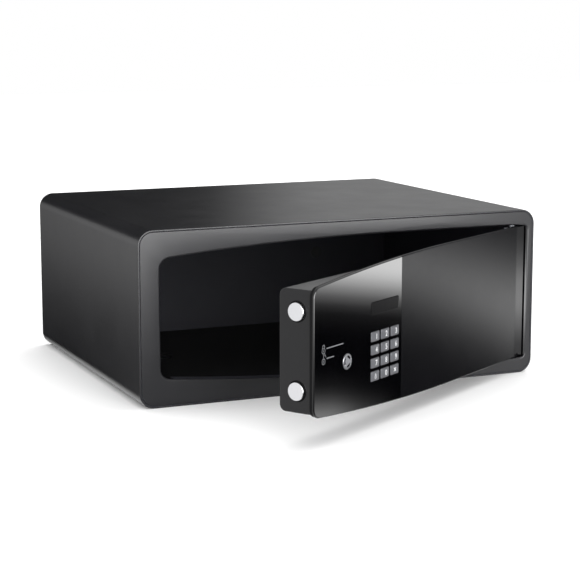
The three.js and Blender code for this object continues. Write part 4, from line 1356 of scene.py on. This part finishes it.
@dataclass
class BatteryBay:
    """The battery lid on its pin, with the lugs that hold it, the cells and the housing's screws.

    The grip's grooves lie whole pitches below the lid's top. A cell's stud and its bare end are given as
    parts of its radius, and a screw's head as a number of times its shank's radius.
    """

    space: Space
    middle: float
    lid_thickness: float = 2 * MM
    lid_corner: float = 1.5 * MM
    lid_rim: float = 0.6 * MM
    groove_width: float = 16 * MM
    groove_height: float = 1.2 * MM
    groove_corner: float = 0.5 * MM
    groove_pitch: float = 2.6 * MM
    groove_pitches: range = range(3, 7)
    knuckle: float = 2.5 * MM
    knuckle_length: float = 20 * MM
    lug_length: float = 10 * MM
    pin: float = 1 * MM
    rod_ease: float = 0.2 * MM
    cell_ease: float = 0.5 * MM
    cell_stud: float = 0.4
    cell_bare: float = 0.8
    screw_socket: float = 2 * MM
    screw_ease: float = 0.5 * MM
    screw_head: float = 2.2

    def build(self) -> None:
        """Build every piece of the bay."""
        self.low, self.high = self.space.box("battery_lid")
        self.x = (self.low.x + self.high.x) / 2
        self.axis = Vector((self.x, self.high.y - self.knuckle, self.low.z + self.knuckle))
        self.lid()
        self.lugs()
        for number in range(1, 5):
            self.cell(f"battery_cell_{number}")
            self.screw(f"housing_screw_{number}")

    def rod(self, start: float, end: float, radius: float, bore: float = 0.0) -> BMesh:
        """Return a rod along the lid's axis, from one place to another."""
        length = end - start
        wall = [(bore, 0), (radius, 0), (radius, length), (bore, length)]
        profile = eased(wall, self.rod_ease) + ([(bore, 0)] if bore else [])
        return lathe(profile, Vector((start, self.axis.y, self.axis.z)), ACROSS, steps=32)

    def lid(self) -> None:
        """Build the lid with its knuckle and its grip, and the pin."""
        top = 2 * self.middle - self.low.z - 2 * self.knuckle - 2 * FIT
        bottom = 2 * self.middle - top
        heights = [top - pitches * self.groove_pitch for pitches in self.groove_pitches]
        size = (self.groove_width, self.groove_height, self.groove_corner)
        grooves = [Rounded(self.x, height, *size) for height in heights]
        width = self.high.x - self.low.x
        outline = Rounded(self.x, self.middle, width, top - bottom, self.lid_corner)
        rear = (self.low.y, self.low.y + self.lid_thickness)
        bm = plate(outline, rear, grooves, rim=self.lid_rim, depth=self.lid_thickness / 4)
        moved(bm, about("Z", 180, Vector((self.x, sum(rear) / 2, 0))))
        half = self.knuckle_length / 2
        add_shape(bm, self.rod(self.x - half, self.x + half, self.knuckle, self.pin + FIT))
        height = bottom + self.lid_thickness - self.axis.z
        web = Rounded(self.x, self.axis.z + height / 2, self.knuckle_length, height, 0)
        add_shape(bm, plate(web, rear))
        self.space.piece("hinged_battery_lid", bm, "battery_lid_body", BLACK_ABS, ["battery_lid"])
        reach = half + FIT + self.lug_length
        pin = self.rod(self.x - reach, self.x + reach, self.pin)
        self.space.piece("battery_lid_wire", pin, "door", ZINC_PLATE, ["battery_lid_pin"])

    def lugs(self) -> None:
        """Build the housing's two lugs that hold the pin."""
        bm = bmesh.new()
        start = self.knuckle_length / 2 + FIT
        for side in (-1, 1):
            ends = sorted((self.x + side * start, self.x + side * (start + self.lug_length)))
            add_shape(bm, self.rod(*ends, self.knuckle, self.pin + FIT))
            foot = Rounded(sum(ends) / 2, self.axis.z, self.lug_length, 2 * self.knuckle, 0)
            add_shape(bm, plate(foot, (self.low.y - FIT, self.axis.y - self.pin)))
        self.space.piece("battery_lid_lugs", bm, "door", HOUSING_LACQUER, ["door_housing"])

    def cell(self, name: str) -> None:
        """Build a cell: a sleeved can with a bare end and a contact stud."""
        low, high = self.space.box(name)
        middle, radius = (low + high) / 2, (high.z - low.z) / 2
        forward = 1 if middle.x > self.x else -1
        start = Vector((low.x if forward > 0 else high.x, middle.y, middle.z))
        total = high.x - low.x
        stud = self.cell_stud * radius
        length = total - abs(middle.x - self.x) * 2
        corners = [(0, 0), (radius, 0), (radius, length), (stud, length), (stud, total), (0, total)]
        bm = lathe(eased(corners, self.cell_ease), start, forward * ACROSS, steps=48)
        for face in bm.faces:
            spot = face.calc_center_median() - start
            face.material_index = int(math.hypot(spot.y, spot.z) < self.cell_bare * radius)
        self.space.piece(name + "_can", bm, "door", [CELL_SLEEVE, ZINC_PLATE], [name])

    def screw(self, name: str) -> None:
        """Build a screw: a low head with a hexagon socket, on its shank."""
        low, high = self.space.box(name)
        middle, radius = (low + high) / 2, (high.x - low.x) / 2
        seat = self.low.y
        socket = Disc(middle.x, middle.z, self.screw_socket, 6)
        head = Disc(middle.x, middle.z, radius)
        bm = plate(head, (seat, high.y), [socket], rim=self.screw_ease, depth=(high.y - seat) / 2)
        moved(bm, about("Z", 180, Vector((middle.x, (seat + high.y) / 2, 0))))
        shank, reach = radius / self.screw_head, seat - low.y
        profile = [(0, 0), (shank, 0), (shank, reach), (0, reach)]
        add_shape(bm, lathe(profile, Vector((middle.x, low.y, middle.z)), REAR))
        self.space.piece(name + "_cap", bm, "door", ZINC_PLATE, [name])


# Carried nodes


def finish_carried(frame: dict, space: Space) -> None:
    """Stand in for every CAD node that still shows with a copy that has eased edges and its slot's finish.

    Args:
        space: The frame's own axes.
    """
    slots = {part["node"]: part["material_slot"] for part in frame["record"]["subparts"]}
    bodies = frame["record"]["behaviour"]["bodies"]
    finishes = {finish.slot: finish for finish in CARRIED}
    for body, names in bodies.items():
        for name in names:
            node = frame["nodes"][name]
            if node.hide_render:
                continue
            bm = bmesh.new()
            bm.from_mesh(node.data)
            bmesh.ops.remove_doubles(bm, verts=bm.verts, dist=WELD)
            bmesh.ops.dissolve_limit(bm, angle_limit=math.radians(1), verts=bm.verts, edges=bm.edges)
            # The door plate gets matt black instead of its slot's finish: painted shade in the gap behind the
            # covers
            finish = PLATE_EDGE_SHADE if name == "door_plate" else finishes[slots[name]]
            space.piece(name + "_eased", bm, body, finish, [name], ease=0.2 * MM)


# Studio


@dataclass(frozen=True)
class Card:
    """A softbox or flag that only reflections see.

    Attributes:
        name: The card's name.
        azimuth: Its direction from the safe, in degrees from the rear towards the right.
        elevation: Its height above the horizon, in degrees.
        width: Its angular width in degrees.
        height: Its angular height in degrees.
        radiance: Its brightest level.
        up: Stops of its level from bottom to top.
        across: Stops of its level from its left to its right, as the safe sees it.
        tilt: How far it leans to its right, in degrees.
        distance: Its distance from the safe.
        centre: The point that it faces.
    """

    name: str
    azimuth: float
    elevation: float
    width: float
    height: float
    radiance: float
    up: Sequence[Pair] = ((0, 1), (1, 1))
    across: Sequence[Pair] = ((0, 1), (1, 1))
    tilt: float = 0.0
    distance: float = 4.0
    centre: tuple[float, float, float] = (0, -0.2, 0.1)

    def build(self) -> None:
        """Place the card as a sheet that faces the safe."""
        width, height = (2 * self.distance * math.tan(math.radians(a / 2)) for a in (self.width, self.height))
        card = new_sheet(self.name, width, height)
        turn = Matrix.Rotation(math.radians(-self.azimuth), 4, "Z")
        lift = Matrix.Rotation(math.radians(90 + self.elevation), 4, "X")
        lean = Matrix.Rotation(math.radians(-self.tilt), 4, "Z")
        out = Matrix.Translation((0, 0, -self.distance))
        card.matrix_world = Matrix.Translation(self.centre) @ turn @ lift @ out @ lean
        card.visible_camera = card.visible_diffuse = card.visible_shadow = False
        card.visible_transmission = card.visible_volume_scatter = False
        material = new_material(self.name)
        tree = material.node_tree
        place = add_node(tree, "ShaderNodeTexCoord").outputs["Object"]
        spread = {"Vector": place, "Location": (0.5, 0.5, 0), "Scale": (1 / width, 1 / height, 1)}
        unit = add_node(tree, "ShaderNodeMapping", spread).outputs[0]
        axes = add_node(tree, "ShaderNodeSeparateXYZ", {0: unit}).outputs
        levels = {0: add_ramp(tree, axes["X"], self.across), 1: add_ramp(tree, axes["Y"], self.up)}
        level = add_node(tree, "ShaderNodeMath", levels, operation="MULTIPLY").outputs[0]
        power = add_node(tree, "ShaderNodeMath", {0: level, 1: self.radiance}, operation="MULTIPLY")
        light = add_node(tree, "ShaderNodeEmission", {"Strength": power.outputs[0]})
        add_node(tree, "ShaderNodeOutputMaterial", {"Surface": light.outputs[0]})
        card.data.materials.append(material)


@dataclass(frozen=True)
class Lamp:
    """A far, broad lamp that lights the safe but isn't mirrored in it.

    Attributes:
        name: The lamp's name.
        azimuth: Its direction from the safe, in degrees from the rear towards the right.
        elevation: Its height above the horizon, in degrees.
        breadth: Its angular width in degrees, which softens its shadows.
        level: How brightly it lights a white surface that faces it.
    """

    name: str
    azimuth: float
    elevation: float
    breadth: float
    level: float

    def build(self) -> None:
        """Place the lamp."""
        data = bpy.data.lights.new(self.name, "SUN")
        data.energy = self.level * math.pi
        data.angle = math.radians(self.breadth)
        lamp = bpy.data.objects.new(self.name, data)
        lamp.rotation_euler = (math.radians(self.elevation - 90), 0, math.radians(-self.azimuth))
        lamp.visible_glossy = False
        bpy.context.scene.collection.objects.link(lamp)


@dataclass
class Studio:
    """The camera, the pale floor, the even white surround, the lamps and the cards."""

    lens: float = 105.24
    position: tuple[float, float, float] = (-811.2 * MM, -1894.3 * MM, 434.7 * MM)
    yaw: float = 23.613
    pitch: float = -9.64
    floor_size: float = 12.0
    ambient: float = 1.12
    lamps: tuple[Lamp, ...] = (
        Lamp("overhead_lamp", 50, 60, 60, 0.28),
        Lamp("fill_lamp", 175, 9, 40, 0.9),
    )
    cards: tuple[Card, ...] = (
        # The bright top of the fascia, which falls off downwards
        Card(
            "fascia_card", 92.4, -9.5, 9.3, 20, 6.85, tilt=-3.8, distance=40.0,
            up=(
                (0.416, 0), (0.436, 0.003), (0.45, 0.008), (0.464, 0.02), (0.479, 0.077), (0.495, 0.225),
                (0.51, 0.46), (0.524, 0.72), (0.538, 0.93), (0.551, 1), (0.58, 1), (0.61, 0),
            ),
        ),
        # The slanting band over the satin skin
        Card(
            "skin_card", 84.9, -9.85, 24, 30, 7.2, tilt=-21, distance=41.0,
            up=(
                (0.4, 0), (0.43, 0.02), (0.46, 0.24), (0.48, 0.66), (0.5, 1), (0.53, 0.6), (0.56, 0.15),
                (0.6, 0.02),
            ),
            across=((0.2, 1), (0.8, 0.7)),
        ),
        # The pale edge along the skin's hinge side
        Card(
            "hinge_card", 90, 0, 5.7, 75.5, 6.4, distance=0.1, centre=(0.1355, -0.191, 0.0975),
            up=(
                (0.04, 0.22), (0.11, 0.29), (0.2, 0.51), (0.3, 0.76), (0.4, 1), (0.49, 0.98), (0.59, 0.87),
                (0.685, 0.58), (0.78, 0.36), (0.88, 0.21), (0.97, 0.155),
            ),
        ),
        # The pale floor, mirrored low in the fascia
        Card(
            "floor_glow", 90.6, -13.5, 5, 3, 2.4, distance=39.0,
            up=(
                (0.28, 1), (0.386, 0.67), (0.477, 0.35), (0.568, 0.147), (0.66, 0.05), (0.75, 0.02), (0.9, 0),
            ),
            across=((0, 0), (0.136, 0.15), (0.34, 0.45), (0.51, 1)),
        ),
        # The soft light on the front frame, in two parts
        Card(
            "front_card", 180, 0, 76.3, 81.2, 12, distance=0.7, centre=(-0.05, -0.195, -0.15),
            up=(
                (0.5, 0), (0.55, 0.01), (0.58, 0.05), (0.61, 0.17), (0.64, 0.4), (0.67, 0.7), (0.7, 0.92),
                (0.75, 1),
            ),
            across=((0, 0.75), (0.13, 0.95), (0.28, 1), (0.4, 0.85), (0.5, 0.7), (1, 0.7)),
        ),
        Card("front_card_hinge", 180, 0, 35.6, 81.2, 1.3, distance=0.7, centre=(0.725, -0.195, -0.15)),
        # The light on the case's left side, which fades downwards
        Card(
            "left_card", -90, 0, 163.7, 106, 0.78, distance=0.3, centre=(-0.245, 2.4, -0.08),
            up=(
                (0.37, 0), (0.43, 0.01), (0.46, 0.04), (0.49, 0.09), (0.52, 0.14), (0.55, 0.28), (0.58, 0.66),
                (0.62, 1),
            ),
            across=((0.06, 1), (0.25, 0.4)),
        ),
        # The sheen on the case's top
        Card("rear_card", 22, 10, 100, 60, 0.6, across=((0.475, 0), (0.512, 1))),
    )  # fmt: skip

    def build(self) -> None:
        """Set the stage."""
        self.camera()
        self.floor()
        self.surround()
        for piece in (*self.lamps, *self.cards):
            piece.build()
        bpy.context.scene.view_settings.view_transform = "Standard"

    def camera(self) -> None:
        """Place the camera at the photograph's viewpoint."""
        data = bpy.data.cameras.new("camera")
        data.lens, data.sensor_width = self.lens, 36
        camera = bpy.data.objects.new("camera", data)
        camera.location = self.position
        camera.rotation_euler = (math.radians(90 + self.pitch), 0, math.radians(-self.yaw))
        bpy.context.scene.collection.objects.link(camera)
        bpy.context.scene.camera = camera

    def floor(self) -> None:
        """Lay the white floor, which keeps the safe's shadow and which reflections pass."""
        floor = new_sheet("floor", self.floor_size, self.floor_size)
        floor.visible_glossy = False
        material = new_material("white_paper")
        shading = {"Base Color": linear("ffffff"), "Roughness": 1.0, "Specular IOR Level": 0.0}
        shader = add_node(material.node_tree, "ShaderNodeBsdfPrincipled", shading)
        add_node(material.node_tree, "ShaderNodeOutputMaterial", {"Surface": shader.outputs[0]})
        floor.data.materials.append(material)

    def surround(self) -> None:
        """Surround the scene with white, which lights it at a lower level than it is seen and mirrored at."""
        world = bpy.data.worlds.new("white_surround")
        bpy.context.scene.world = world
        world.use_nodes = True
        tree = world.node_tree
        rays = add_node(tree, "ShaderNodeLightPath").outputs
        seen = rays["Is Camera Ray"]
        for kind in ("Is Glossy Ray", "Is Transmission Ray"):
            seen = add_node(tree, "ShaderNodeMath", {0: seen, 1: rays[kind]}, operation="MAXIMUM").outputs[0]
        levels = {"Value": seen, "To Min": self.ambient, "To Max": 1.0}
        level = add_node(tree, "ShaderNodeMapRange", levels).outputs[0]
        back = tree.nodes["Background"]
        back.inputs["Color"].default_value = linear("ffffff")
        tree.links.new(level, back.inputs["Strength"])


def door_axes(frame: dict) -> Matrix:
    """Return the matrix that swings the door from shut to where it stands ajar.


    Returns:
        The matrix.
    """
    joints = {joint["name"]: joint for joint in frame["joints"]}
    pivot = Vector(joints["door_hinge"]["pos_m"])
    along = -Vector(joints["bolt_slide"]["axis"])
    return about("Z", math.degrees(math.atan2(along.y, along.x)), pivot)


def main() -> None:
    """Build the safe and its studio."""
    logging.basicConfig(level=logging.INFO, format="%(message)s")
    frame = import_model()
    still = Space(Matrix.Identity(4), frame["nodes"])
    swung = Space(door_axes(frame), frame["nodes"])
    Studio().build()
    case = Case(still)
    case.build()
    Door(swung, case.opening()).build()
    Keypad(swung).build()
    OverrideLock(swung).build()
    Bolts(swung).build()
    BatteryBay(swung, case.middle).build()
    finish_carried(frame, still)


if __name__ == "__main__":
    main()
